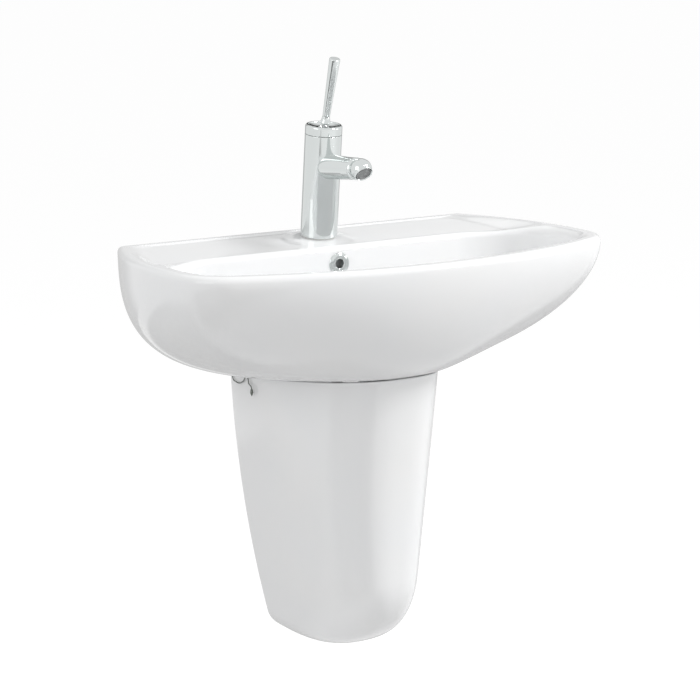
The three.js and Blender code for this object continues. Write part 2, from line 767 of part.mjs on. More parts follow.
// The ring on the spout's end holds the nozzle's round back in its hollow seat. It is made, like
// the ball stud, along the spout's axis with the ball's centre at zero.
function nozzleRing() {
  const seatRadius = nozzleRadius + clearance;
  const onSeat = (radius) => [radius, -Math.sqrt(seatRadius ** 2 - radius ** 2)];
  const start = spoutReach - nozzleFromAxis + clearance;
  const tail = start - nozzleRingSpigot - clearance;
  const end = nozzleRingEnd - nozzleFromAxis;
  const mouth = Math.sqrt(seatRadius ** 2 - end ** 2);
  const shoulder = start + 0.6;
  const onShoulder = (share) => {
    const angle = (share * Math.PI) / 2;
    return [
      mouth + 0.5 + (spoutRadius - mouth - 0.5) * Math.cos(angle),
      shoulder + (end - shoulder) * Math.sin(angle),
    ];
  };
  return turned(
    [
      [spoutBore, tail],
      [ringSpigotRadius, tail],
      [ringSpigotRadius, start],
      [spoutRadius, start],
      ...[0, 0.5, 1].map(onShoulder),
      onSeat(mouth),
      onSeat((mouth + spoutBore) / 2),
      onSeat(spoutBore),
      [spoutBore, tail],
    ],
    roundSides,
  );
}

// The ball stud sits in the spout's end and carries the nozzle. Water runs through the stud.
function nozzleBall() {
  const tail = spoutReach - nozzleFromAxis - 10;
  const flange = tail + 6;
  const onBall = (share) => {
    const angle = THREE.MathUtils.lerp(Math.asin(ballNeckRadius / ballRadius), Math.PI, share);
    return [Math.max(ballRadius * Math.sin(angle), ballBore), -ballRadius * Math.cos(angle)];
  };
  const end = Math.sqrt(ballRadius ** 2 - ballBore ** 2);
  return turned([
    [ballBore, tail],
    [spoutBore - clearance, tail],
    [spoutBore - clearance, flange],
    [ballNeckRadius, flange],
    ...[0, 0.2, 0.4, 0.6, 0.8].map(onBall),
    [ballBore, end],
    [ballBore, tail],
  ]);
}

// The nozzle is a ball cut off flat at its outlet. It swings on the ball stud from its lowest
// position, nozzleSwing below the spout's axis, up through nozzleRange; a slot in its round back,
// cut as a row of overlapping bores, leaves room for the stud's neck.
const nozzleSwing = spoutRise + nozzleDip;
const neckEase = 0.5;

function nozzleHead() {
  const onSphere = (radius, angle) => [radius * Math.sin(angle), -radius * Math.cos(angle)];
  const lastAngle = Math.PI - Math.asin(nozzleMouthRadius / nozzleRadius);
  const outside = [0, 0.1, 0.2, 0.3, 0.4, 0.5, 0.6, 0.7, 0.8, 0.9, 1].map((share) =>
    onSphere(nozzleRadius, share * lastAngle),
  );
  const ballRoom = ballRadius + clearance;
  const bore = aeratorRadius + clearance;
  const shoulder = nozzleLength - aeratorDepth - clearance;
  let made = turned(
    [
      ...outside,
      [nozzleMouthRadius, nozzleLength - 0.4],
      [nozzleMouthRadius - 0.4, nozzleLength],
      [nozzleMouthRadius - 0.6, nozzleLength],
      [bore, nozzleLength - 1.2],
      [bore, shoulder],
      [ballRoom, shoulder],
      [ballRoom, 0],
      ...[0.75, 0.5, 0.25, 0].map((share) => onSphere(ballRoom, (share * Math.PI) / 2)),
    ],
    roundSides,
  );
  for (const share of [0, 0.2, 0.4, 0.6, 0.8, 1]) {
    const turn = new THREE.Matrix4().makeRotationX(Math.PI - nozzleSwing + share * nozzleRange);
    made = made.subtract(placed(bar(ballNeckRadius + neckEase, 0, nozzleRadius + 1), turn));
  }
  return made;
}

function aerator() {
  const low = nozzleLength - aeratorDepth;
  const insert = bar(aeratorRadius, low, nozzleLength - 0.8, roundSides);
  return insert.subtract(bar(aeratorRadius - 1.5, nozzleLength - 2, nozzleLength, roundSides));
}

function tapCap() {
  const low = tapHeight - capHeight;
  const opening = tapRadius - capLip;
  const ledge = tapHeight - rosetteDepth;
  return turned(
    [
      [cartridgeNutRadius, low],
      [tapRadius, low],
      [tapRadius, tapHeight - 1],
      [tapRadius - 1, tapHeight],
      [opening + 0.5, tapHeight],
      [opening, tapHeight - 0.5],
      [opening, ledge],
      [cartridgeNutRadius - 2, ledge],
      [cartridgeNutRadius, ledge - 3],
      [cartridgeNutRadius, low],
    ],
    roundSides,
  );
}

// The dished rosette in the cap turns with the lever.
function leverRosette() {
  const outer = tapRadius - capLip - clearance;
  const hole = leverStemRadius + 3.4;
  const low = tapHeight - rosetteDepth + clearance;
  return turned(
    [
      [hole, low],
      [outer, low],
      [outer, tapHeight - 1],
      [(outer * 2) / 3, tapHeight - 1 - dishDepth * 0.7],
      [hole, tapHeight - 1 - dishDepth],
      [hole, low],
    ],
    roundSides,
  );
}

const spindleLow = bodyTop - cartridgeNutHeight;
const pivotPinRadius = 1.5;

function cartridge() {
  return bar(cartridgeRadius, chamberFloor, chamberFloor + cartridgeLength - clearance, roundSides);
}

function cartridgeSpindle() {
  const high = tapHeight - rosetteDepth;
  const slot = block(
    new THREE.Vector3(-leverStemRadius - clearance, -spindleRadius - 1, leverPivotHeight - 6),
    new THREE.Vector3(leverStemRadius + clearance, spindleRadius + 1, high + 1),
  );
  const pinHole = placed(
    bar(pivotPinRadius + clearance / 2, -spindleRadius - 1, spindleRadius + 1),
    at(0, 0, leverPivotHeight).multiply(new THREE.Matrix4().makeRotationY(Math.PI / 2)),
  );
  return bar(spindleRadius, spindleLow, high, roundSides).subtract(slot).subtract(pinHole);
}

function leverPivotPin() {
  return placed(
    bar(pivotPinRadius, -spindleRadius, spindleRadius),
    at(0, 0, leverPivotHeight).multiply(new THREE.Matrix4().makeRotationY(Math.PI / 2)),
  );
}

// Lever pieces stand on the pivot, with +Z along the lever.
const collarLow = tapHeight - leverPivotHeight + 2;

function leverStem() {
  const pinHole = placed(
    bar(pivotPinRadius + clearance, -spindleRadius, spindleRadius),
    new THREE.Matrix4().makeRotationY(Math.PI / 2),
  );
  return bar(leverStemRadius, -4.5, collarLow + leverCollarHeight / 2 - clearance).subtract(pinHole);
}

function leverCollar() {
  const bore = leverStemRadius + clearance;
  return turned(
    [
      [bore, collarLow],
      [leverCollarRadius - 1, collarLow],
      [leverCollarRadius, collarLow + 1.5],
      [leverPinFootRadius + 0.4, collarLow + leverCollarHeight - 1],
      [leverPinFootRadius, collarLow + leverCollarHeight],
      [0, collarLow + leverCollarHeight],
      [0, collarLow + leverCollarHeight / 2],
      [bore, collarLow + leverCollarHeight / 2],
      [bore, collarLow],
    ],
    roundSides,
  );
}

function leverPin() {
  const low = collarLow + leverCollarHeight + clearance;
  const high = low + leverPinLength;
  return turned(
    [
      [0, low],
      [leverPinFootRadius, low],
      [leverPinTopRadius, high - 0.8],
      [leverPinTopRadius - 0.8, high],
      [0, high],
    ],
    roundSides,
  );
}

// Fixing under the deck, along the tap's axis.
const clampTilt = clampRadius * Math.tan(tapLean - deckSlope);
const clampTop = -deckThickness - tapPadHeight - clampTilt;

function clampPiece(low, high, radius) {
  const slot = block(
    new THREE.Vector3(-7, -clampRadius - 1, low - 1),
    new THREE.Vector3(7, -2, high + 1),
  );
  const hole = placed(bar(tapStudRadius + clearance, low - 1, high + 1), at(0, tapRadius / 3, 0));
  return bar(radius, low, high).subtract(slot).subtract(hole);
}

// ---------------------------------------------------------------- waste and trap
// Pieces of the waste and trap stand on the waste's axis, at the seat in the bowl.
function wasteBody() {
  const inner = wasteTubeRadius - wasteTubeWall;
  const low = -wasteTubeLength;
  const flangeSeat = -wasteFlange + 1.5;
  let made = turned(
    [
      [inner, low],
      [wasteTubeRadius, low],
      [wasteTubeRadius, flangeSeat],
      [wasteFlangeRadius, flangeSeat],
      [wasteFlangeRadius - 2, flangeSeat + wasteFlange],
      [inner + 4, flangeSeat + 1],
      [inner, flangeSeat - 3],
      [inner, low],
    ],
    roundSides,
  );
  const middle = -wasteBossThickness + 7;
  const slot = block(
    new THREE.Vector3(-wasteTubeRadius - 1, -8, middle - 3),
    new THREE.Vector3(wasteTubeRadius + 1, 8, middle + 3),
  );
  return made.subtract(slot);
}

const wasteUpperSeal = () =>
  ring(wasteHoleRadius + 1, wasteFlangeRadius - 1, -wasteFlange + 0.2, -wasteFlange + 1.3, roundSides);
const wasteLowerWasher = () =>
  ring(
    wasteTubeRadius + clearance,
    backNutAcross / 2,
    -wasteBossThickness - 3 - clearance,
    -wasteBossThickness - clearance,
    roundSides,
  );

function wasteBackNut() {
  const high = -wasteBossThickness - 3 - 2 * clearance;
  return hexNut(backNutAcross, wasteTubeRadius + clearance, high - backNutHeight, high, roundSides);
}

const guideTop = -14;

// A cross in the tube that carries the plug's stem.
function plugGuide() {
  const outer = wasteTubeRadius - wasteTubeWall - clearance;
  const low = guideTop - 8;
  const rim = ring(outer - 2, outer, low, guideTop, roundSides);
  const hub = bar(plugStemRadius + 2.5, low, guideTop);
  const spoke = block(new THREE.Vector3(-outer + 1, -1.5, low), new THREE.Vector3(outer - 1, 1.5, guideTop));
  return rim.add(hub).add(spoke).subtract(bar(plugStemRadius + clearance, low - 1, guideTop + 1));
}

const plugSeat = 1.5 + clearance;

function plugCap() {
  const socket = plugStemRadius + clearance;
  return turned(
    [
      [0, plugSeat + plugHeight],
      [0, plugSeat + 2],
      [socket, plugSeat + 2],
      [socket, plugSeat],
      [plugRadius - 1, plugSeat],
      [plugRadius, plugSeat + 1],
      [plugRadius - 3, plugSeat + plugHeight - 1.5],
      [plugRadius / 2, plugSeat + plugHeight - 0.4],
      [0, plugSeat + plugHeight],
    ],
    roundSides,
  );
}

const plugStem = () => bar(plugStemRadius, guideTop - 8 - plugTravel - 4, plugSeat + 2 - clearance);

const tailEndHeight = -wasteTubeLength;
const trapTop = tailEndHeight - trapDrop;
const trapBottom = trapTop - trapHeadHeight;
const outletHeight = trapTop - trapHeadRadius + 2;

// The union nut grips the waste's tube and carries the trap's inlet tube by its collar.
function trapInletNut() {
  const low = tailEndHeight - 12;
  return turned(
    [
      [pipeRadius + clearance, low],
      [trapNutRadius - 1, low],
      [trapNutRadius, low + 2],
      [trapNutRadius, tailEndHeight + 10],
      [wasteTubeRadius + clearance, tailEndHeight + 10],
      [wasteTubeRadius + clearance, tailEndHeight - 6],
      [pipeRadius + clearance, tailEndHeight - 6],
      [pipeRadius + clearance, low],
    ],
    roundSides,
  );
}

function trapInletTube() {
  const inner = pipeRadius - pipeWall;
  const low = trapBottom - trapCupHeight / 2;
  const collarTop = tailEndHeight - clearance;
  const collarLow = tailEndHeight - 6 + clearance;
  return turned([
    [inner, low],
    [pipeRadius, low],
    [pipeRadius, collarLow],
    [wasteTubeRadius, collarLow],
    [wasteTubeRadius, collarTop],
    [inner, collarTop],
    [inner, low],
  ]);
}

function trapNeckNut() {
  return ring(pipeRadius + clearance, trapNutRadius, trapTop + clearance, trapTop + trapNutHeight);
}

function trapHead() {
  const wall = 3;
  const body = turned(
    [
      [0, trapBottom],
      [trapHeadRadius, trapBottom],
      [trapHeadRadius, trapTop - 3],
      [trapHeadRadius - 3, trapTop],
      [0, trapTop],
    ],
    roundSides,
  );
  const spigot = placed(
    bar(trapHeadRadius - 4, 0, trapHeadRadius + 14),
    at(0, 0, outletHeight).multiply(new THREE.Matrix4().makeRotationX(-Math.PI / 2)),
  );
  const spigotBore = placed(
    bar(pipeRadius + clearance, 8, trapHeadRadius + 15),
    at(0, 0, outletHeight).multiply(new THREE.Matrix4().makeRotationX(-Math.PI / 2)),
  );
  return body
    .add(spigot)
    .subtract(bar(trapHeadRadius - wall, trapBottom - 1, trapTop - 6, roundSides))
    .subtract(spigotBore)
    .subtract(bar(pipeRadius + clearance, trapBottom, trapTop + 1));
}

function trapCup() {
  const top = trapBottom + 12;
  const low = trapBottom - trapCupHeight;
  const seat = trapHeadRadius + clearance;
  const inner = trapCupRadius - 3;
  return turned(
    [
      [0, low],
      [trapCupRadius - 12, low],
      [trapCupRadius - 3, low + 5],
      [trapCupRadius, low + 16],
      [trapCupRadius, top],
      [seat, top],
      [seat, trapBottom - clearance],
      [trapHeadRadius - 3, trapBottom - clearance],
      [inner - 4, trapBottom - 6],
      [inner - 2, low + 16],
      [trapCupRadius - 12, low + 3],
      [0, low + 3],
    ],
    roundSides,
  );
}

// The outlet runs level from the trap's head into the wall.
const outletStart = trapHeadRadius + 14 - 18;

function outletPipe() {
  return placed(
    ring(pipeRadius - pipeWall, pipeRadius, outletStart, wasteFromWall),
    at(0, 0, outletHeight).multiply(new THREE.Matrix4().makeRotationX(-Math.PI / 2)),
  );
}

function outletNut() {
  const low = trapHeadRadius + 14 + clearance;
  return placed(
    ring(pipeRadius + clearance, trapNutRadius, low, low + trapNutHeight),
    at(0, 0, outletHeight).multiply(new THREE.Matrix4().makeRotationX(-Math.PI / 2)),
  );
}

function wallFlange() {
  const wall = 1.5;
  const inner = pipeRadius + clearance;
  return placed(
    turned(
      [
        [inner, wasteFromWall - wallFlangeDepth],
        [inner + 8, wasteFromWall - wallFlangeDepth],
        [wallFlangeRadius, wasteFromWall],
        [wallFlangeRadius - 3, wasteFromWall],
        [inner + 7, wasteFromWall - wallFlangeDepth + wall],
        [inner, wasteFromWall - wallFlangeDepth + wall],
        [inner, wasteFromWall - wallFlangeDepth],
      ],
      roundSides,
    ),
    at(0, 0, outletHeight).multiply(new THREE.Matrix4().makeRotationX(-Math.PI / 2)),
  );
}

// ---------------------------------------------------------------- assembly
const sink = new THREE.Group();
sink.add(meshOf("basin", "ceramic", basin()));
sink.add(meshOf("semi_pedestal", "ceramic", pedestal()));
["left_back", "left_front", "right_front", "right_back"].forEach((place, i) => {
  sink.add(meshOf("buffer_" + place, "rubber", buffer([0.14, 0.36, 0.64, 0.86][i])));
});

for (const [side, sign] of [["left", -1], ["right", 1]]) {
  const wallSet = fixing({
    radius: studRadius,
    wall: backWall,
    hole: studHoleRadius,
    across: nutAcross,
    length: backWall + bushFlange + washerThickness + nutHeight + 8,
    bush: true,
  });
  const wallGroup = new THREE.Group();
  wallGroup.position.set(sign * studHalfSpacing, 0, 0);
  wallGroup.rotation.x = Math.PI / 2;
  wallGroup.add(meshOf("wall_stud_" + side, "steel", wallSet.stud));
  wallGroup.add(meshOf("wall_bush_" + side, "whitePlastic", wallSet.bush));
  wallGroup.add(meshOf("wall_washer_" + side, "steel", wallSet.washer));
  wallGroup.add(meshOf("wall_nut_" + side, "steel", wallSet.nut));

  const lugSet = fixing({
    radius: pedestalStudRadius,
    wall: lugThickness,
    hole: lugHoleRadius,
    across: pedestalNutAcross,
    length: lugThickness + washerThickness + nutHeight + 6,
    bush: false,
  });
  const lugGroup = new THREE.Group();
  lugGroup.position.set(sign * pedestalStudHalfSpacing, 0, -pedestalStudDrop);
  lugGroup.rotation.x = Math.PI / 2;
  lugGroup.add(meshOf("pedestal_stud_" + side, "steel", lugSet.stud));
  lugGroup.add(meshOf("pedestal_washer_" + side, "steel", lugSet.washer));
  lugGroup.add(meshOf("pedestal_nut_" + side, "steel", lugSet.nut));
  sink.add(wallGroup, lugGroup);
}

sink.add(meshOf("clip_bow", "steel", clipBow()));
sink.add(meshOf("clip_tail", "steel", clipTail()));
sink.add(meshOf("clip_drop", "steel", clipDrop()));

const overflow = new THREE.Group();
overflow.position.set(0, -bowlFromWall, overflowHeight);
overflow.rotation.x = Math.PI / 2;
const throatOuter = overflowHoleRadius - clearance;
overflow.add(
  meshOf(
    "overflow_ring",
    "chrome",
    turned(
      [
        [overflowThroat + 2.5, -bowlWall],
        [throatOuter, -bowlWall],
        [throatOuter, clearance],
        [overflowRingRadius, clearance],
        [overflowRingRadius - 0.5, 1.2],
        [overflowRingRadius - 4, 2.8],
        [overflowThroat, 2.2],
        [overflowThroat, -2],
        [overflowThroat + 2.5, -bowlWall],
      ],
      roundSides,
    ),
  ),
);
sink.add(overflow);

const tap = new THREE.Group();
tap.position.copy(tapBase);
tap.rotation.x = tapLean;
tap.add(meshOf("tap_body", "chrome", tapBody()));
tap.add(meshOf("tap_seal", "rubber", ring(tapHoleRadius + 1, tapRadius - 0.5, clearance, clearance + sealHeight)));
tap.add(meshOf("tap_cap", "chrome", tapCap()));
tap.add(meshOf("cartridge", "whitePlastic", cartridge()));
tap.add(
  meshOf(
    "cartridge_nut",
    "brass",
    ring(spindleRadius + clearance, cartridgeNutRadius, spindleLow, bodyTop - clearance, roundSides),
  ),
);
tap.add(meshOf("cartridge_spindle", "whitePlastic", cartridgeSpindle()));
tap.add(meshOf("lever_rosette", "chrome", leverRosette()));
tap.add(meshOf("lever_pivot_pin", "steel", leverPivotPin()));

const lever = new THREE.Group();
lever.position.set(0, 0, leverPivotHeight);
lever.rotation.x = leverLean;
lever.add(meshOf("lever_stem", "steel", leverStem()));
lever.add(meshOf("lever_collar", "chrome", leverCollar()));
lever.add(meshOf("lever_pin", "chrome", leverPin()));
tap.add(lever);

const nozzle = new THREE.Group();
nozzle.applyMatrix4(nozzlePlace);
nozzle.add(meshOf("nozzle_head", "chrome", nozzleHead()));
nozzle.add(meshOf("aerator", "mesh", aerator()));
const ballGroup = new THREE.Group();
ballGroup.applyMatrix4(spoutPlace.clone().multiply(at(0, 0, nozzleFromAxis)));
ballGroup.add(meshOf("nozzle_ring", "chrome", nozzleRing()));
ballGroup.add(meshOf("nozzle_ball", "brass", nozzleBall()));
tap.add(nozzle, ballGroup);

const underDeck = new THREE.Group();
const clampRubber = 3;
const clampPlate = 2;
const plateTop = clampTop - clampRubber - clearance;
underDeck.add(meshOf("clamp_rubber", "rubber", clampPiece(clampTop - clampRubber, clampTop, clampRadius)));
underDeck.add(meshOf("clamp_plate", "brass", clampPiece(plateTop - clampPlate, plateTop, clampRadius - 1)));
const stud = new THREE.Group();
stud.position.set(0, tapRadius / 3, 0);
const clampNutTop = plateTop - clampPlate - clearance;
stud.add(meshOf("tap_stud", "steel", bar(tapStudRadius, bodyFoot + 15 - tapStudLength, bodyFoot + 15)));
stud.add(
  meshOf(
    "clamp_nut",
    "brass",
    hexNut(pedestalNutAcross, tapStudRadius + clearance, clampNutTop - nutHeight, clampNutTop),
  ),
);
underDeck.add(stud);
tap.add(underDeck);
sink.add(tap);

const waste = new THREE.Group();
waste.position.set(0, -wasteFromWall, wasteSeat);
waste.add(meshOf("waste_body", "chrome", wasteBody()));
waste.add(meshOf("waste_upper_seal", "rubber", wasteUpperSeal()));
waste.add(meshOf("waste_lower_washer", "rubber", wasteLowerWasher()));
waste.add(meshOf("waste_back_nut", "brass", wasteBackNut()));
waste.add(meshOf("plug_guide", "greyPlastic", plugGuide()));
waste.add(meshOf("plug_stem", "brass", plugStem()));
waste.add(meshOf("plug_cap", "chrome", plugCap()));
waste.add(meshOf("trap_inlet_nut", "chrome", trapInletNut()));
waste.add(meshOf("trap_inlet_tube", "chrome", trapInletTube()));
waste.add(meshOf("trap_neck_nut", "chrome", trapNeckNut()));
waste.add(meshOf("trap_head", "chrome", trapHead()));
waste.add(meshOf("trap_cup", "chrome", trapCup()));
waste.add(meshOf("outlet_pipe", "chrome", outletPipe()));
waste.add(meshOf("outlet_nut", "chrome", outletNut()));
waste.add(meshOf("wall_flange", "chrome", wallFlange()));
sink.add(waste);

export default sink;
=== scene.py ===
from math import asin, atan2, cos, pi, radians, sin, sqrt, tan

import bmesh
import bpy
import numpy as np
from mathutils import Matrix, Vector


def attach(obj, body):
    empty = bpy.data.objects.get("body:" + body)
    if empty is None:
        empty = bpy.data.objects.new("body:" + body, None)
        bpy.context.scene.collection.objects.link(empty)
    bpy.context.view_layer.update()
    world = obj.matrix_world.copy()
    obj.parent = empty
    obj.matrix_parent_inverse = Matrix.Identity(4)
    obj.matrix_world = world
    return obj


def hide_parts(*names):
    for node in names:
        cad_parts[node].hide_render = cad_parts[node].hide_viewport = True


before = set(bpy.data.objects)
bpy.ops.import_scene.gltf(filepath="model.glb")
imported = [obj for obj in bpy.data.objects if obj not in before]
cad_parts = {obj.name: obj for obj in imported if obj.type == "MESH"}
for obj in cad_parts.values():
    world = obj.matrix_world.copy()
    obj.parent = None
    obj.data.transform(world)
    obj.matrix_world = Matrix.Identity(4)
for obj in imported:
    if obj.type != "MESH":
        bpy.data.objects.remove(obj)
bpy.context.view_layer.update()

# ---------------------------------------------------------------- basin
# The basin is slip-cast vitreous china: a rim, a tap deck that falls towards the bowl, the bowl,
# and an outer wall that runs down to a foot over the semi-pedestal. White glaze covers it but for
# the flat back, which two studs clamp to the wall. Lengths in this file are in millimetres.
half_width, half_back, depth = 300, 259, 377
widest_line = 195
front_radius, corner_radius = 560, 79
rim, lip, back_lip, back_bend = 85, 8, 3, 4
wall_drop, underside_rise = 183, 0.107
side_fullness, front_fullness = 2.97, 1.72
side_flow, front_flow = 0.23, 0.18
foot_half, foot_reach, foot_exponent = 106, 279, 2.6
shell_wall, back_wall = 12, 15
rim_width, deck_step, deck_slope, deck_thickness = 14, 2, radians(5), 14
deck_fade, deck_rise = 90, 68
bowl_from_wall, bowl_bend, bowl_inset, bowl_depth, bowl_wall = 112, 90, 30, 128, 10
bowl_floor, back_fullness, front_bowl_fullness = 40, 5.2, 2.2
back_round, front_round = 7, 16
deck_edge_inset, side_deck_edge, crest_inset, front_deck_edge, front_crest = 17, 38, 11, 12.5, 9
deck_corner, crest_corner = 26, 9
tap_from_wall, tap_lean, tap_pad, tap_pad_radius, tap_pad_fade = 60, radians(8), 3, 26, 24
waste_from_wall = 195
back_steps, bend_steps, side_steps, outline_steps, fine_steps = 44, 12, 30, 100, 2000
bowl_steps, deck_steps, edge_steps, wall_steps, hollow_steps = 48, 26, 9, 60, 24
back_crowding, clearance, tiny = 1.25, 5, 1e-6

bulge = half_width - half_back
side_radius = (bulge**2 + widest_line**2) / (2 * bulge)
side_centre = np.array([half_width - side_radius, -widest_line])
front_centre = np.array([0, front_radius - depth])


def corner_of_arcs():
    """Centre of the front corner's arc, as far inside the side's arc as inside the front's."""
    to_side, to_front = side_radius - corner_radius, front_radius - corner_radius
    line = front_centre - side_centre
    apart = np.hypot(*line)
    along = (to_side**2 - to_front**2 + apart**2) / (2 * apart)
    line = line / apart
    return side_centre + along * line + sqrt(to_side**2 - along**2) * np.array([line[1], -line[0]])


corner_centre = corner_of_arcs()
side_to_corner = atan2(*(corner_centre - side_centre)[::-1])
corner_to_front = atan2(*(corner_centre - front_centre)[::-1])


def smooth(value):
    """Runs from 0 to 1 with level ends: three squares less two cubes of the value."""
    value = np.clip(value, 0, 1)
    return value * value * (3 - 2 * value)


def mix(low, high, share):
    """The value that is a share of the way from low to high."""
    return low + (high - low) * share


def mirrored(half):
    """A ring from its right half, which runs from the back's middle to the front's middle."""
    other = half[-2:0:-1]
    return np.concatenate([half, other * [-1, 1] if half.ndim > 1 else other])


def arc(centre, radius, turns):
    """Points of a circle at the given angles."""
    return np.asarray(centre) + radius * np.stack([np.cos(turns), np.sin(turns)], axis=1)


def bend_of(inset, from_wall, bend):
    """Centre of the bend from the straight back to the side's arc, and the angle of its end."""
    reach = side_radius - inset
    y = -from_wall - bend
    x = side_centre[0] + sqrt((reach - bend) ** 2 - (y - side_centre[1]) ** 2)
    return (x, y), atan2(y - side_centre[1], x - side_centre[0])


bowl_start = bend_of(bowl_inset, bowl_from_wall, bowl_bend)[1]


def walked(points):
    """How far along a line each of its points is, as a share of the line's length."""
    along = np.concatenate([[0], np.cumsum(np.hypot(*np.diff(points, axis=0).T))])
    return along / (along[-1] or 1)


def half_of_plan(bend_centre, bend, turns, outline):
    """A straight back, an arc round the back corner at the given angles, and the outline. The
    back's points stand closer together at its middle, behind the tap."""
    across = bend_centre[0] * (np.arange(back_steps) / back_steps) ** back_crowding
    back = np.stack([across, np.full(back_steps, bend_centre[1] + bend)], axis=1)
    return np.vstack([back, arc(bend_centre, bend, turns), outline])


def front_outline(inset):
    """The arcs of the side, the front corner and the front from the bowl's start to the middle,
    moved inwards. Its points lie at the same angles for every inset, evenly spaced along the bowl's
    edge."""
    centres = np.array([side_centre, corner_centre, front_centre])
    radii = np.array([side_radius, corner_radius, front_radius])
    turns = np.array([bowl_start, side_to_corner, corner_to_front, -pi / 2])
    along = np.concatenate([[0], np.cumsum((bowl_inset - radii) * np.diff(turns))])
    place = np.linspace(0, along[-1], outline_steps + 1)
    turn = np.interp(place, along, turns)
    which = np.clip(np.searchsorted(along, place, side="right") - 1, 0, 2)
    reach = (radii - inset)[which, None]
    return centres[which] + reach * np.stack([np.cos(turn), np.sin(turn)], axis=1)


def rim_outline(inset, start):
    """The rim's outline moved inwards, from an angle on the side's arc to the front's middle."""
    turns = np.linspace(start, bowl_start, side_steps, endpoint=False)
    return np.vstack([arc(side_centre, side_radius - inset, turns), front_outline(inset)])


def rim_plan(inset, from_wall, bend):
    """The rim's plan moved inwards as a ring."""
    centre, start = bend_of(inset, from_wall, bend)
    turns = np.linspace(pi / 2, start, bend_steps, endpoint=False)
    return mirrored(half_of_plan(centre, bend, turns, rim_outline(inset, start)))


def bowl_plan(out):
    """The bowl's edge moved outwards as a ring; its wide bend has the points of the rim's side."""
    centre = bend_of(bowl_inset, bowl_from_wall, bowl_bend)[0]
    turns = np.linspace(pi / 2, bowl_start, bend_steps + side_steps, endpoint=False)
    return mirrored(half_of_plan(centre, bowl_bend + out, turns, front_outline(bowl_inset - out)))


def oval_outline(half, reach, from_wall, exponent, shares):
    """A quarter of a superellipse from side to front, with points at shares of its length."""
    turn = np.linspace(0, pi / 2, fine_steps)
    x = half * np.cos(turn) ** (2 / exponent)
    y = -from_wall - (reach - from_wall) * np.sin(turn) ** (2 / exponent)
    along = walked(np.column_stack([x, y]))
    return np.stack([np.interp(shares, along, x), np.interp(shares, along, y)], axis=1)


rim_shares = walked(rim_outline(0, bend_of(0, 0, back_bend)[1]))


def oval_plan(half, reach, from_wall, bend=back_bend):
    """Half a superellipse on a straight back as a ring; its points lie at the same shares of the
    way to the front as the rim's."""
    outline = oval_outline(half, reach, from_wall + bend, foot_exponent, rim_shares)
    turns = np.linspace(pi / 2, 0, bend_steps, endpoint=False)
    return mirrored(half_of_plan((half - bend, -from_wall - bend), bend, turns, outline))


def quarter(angle, exponent):
    """A superellipse from its side to its foot in polar form: the share outwards and downwards."""
    out, down = np.cos(angle), np.sin(angle)
    radius = (out**exponent + down**exponent) ** (-1 / exponent)
    return out * radius, down * radius


def level(plan):
    """Height of the deck, a plane that falls towards the bowl, goes level beside it, and rises to
    the rim further forward. Round the tap it becomes a pad square to the tap's axis."""
    x, y = plan.T
    deck = rim - deck_step + (np.maximum(y, -bowl_from_wall) + rim_width) * tan(deck_slope)
    deck = mix(deck, rim, smooth((-y - bowl_from_wall) / deck_rise))
    pad = tap_base[2] + (y + tap_from_wall) * tan(tap_lean)
    away = (np.hypot(x, y + tap_from_wall) - tap_pad_radius) / tap_pad_fade
    return mix(pad, deck, smooth(away))


def underside(y):
    """Height of the basin's foot, a plane that climbs away from the wall."""
    return rim - wall_drop - underside_rise * y


def ring(plan, height):
    """A plan at a height, or at a height for each of its points."""
    return np.column_stack([plan, np.broadcast_to(height, len(plan))])


def waste_circle(radius):
    """A circle about the waste whose points lie in the directions of the bowl's own stations."""
    away = bowl_plan(0) + [0, waste_from_wall]
    return radius * away / np.hypot(*away.T)[:, None] - [0, waste_from_wall]


def bowl_rows(grow, rows, round_by, top):
    """Rows of the bowl from its floor to its edge: at each station a quarter superellipse between
    the floor's circle and the edge, nearly square at the back and rounder elsewhere."""
    edge, floor = bowl_plan(grow), waste_circle(bowl_floor + grow)
    squareness = 1 - smooth((-edge[:, 1] - bowl_from_wall) / bowl_bend)
    fullness = mix(front_bowl_fullness, back_fullness, squareness)
    made = []
    for angle in np.linspace(pi / 2, 0, rows):
        out, down = quarter(angle, fullness)
        height = mix(top - round_by, waste_seat - grow, down)
        made.append(ring(mix(floor, edge, out[:, None]), height))
    return made


def wall_rows(inset, rows, top):
    """Rows of the outer wall from its top to its foot: a quarter superellipse mixed with a straight
    fall, fuller at the sides than at the front."""
    from_wall = back_wall if inset else 0
    edge = rim_plan(inset, from_wall, back_bend)
    foot = oval_plan(foot_half - inset, foot_reach - inset, from_wall)
    forward = np.clip(-edge[:, 1] / depth, 0, 1)
    fullness = mix(side_fullness, front_fullness, smooth(forward))
    flow = mix(side_flow, front_flow, forward)
    made = []
    for angle in np.linspace(0, pi / 2, rows):
        out, down = quarter(angle, fullness)
        fall = (1 - flow) * down + flow * (1 - out)
        height = mix(top, underside(foot[:, 1]) + inset, fall)
        made.append(ring(mix(foot, edge, out[:, None]), height))
    return made


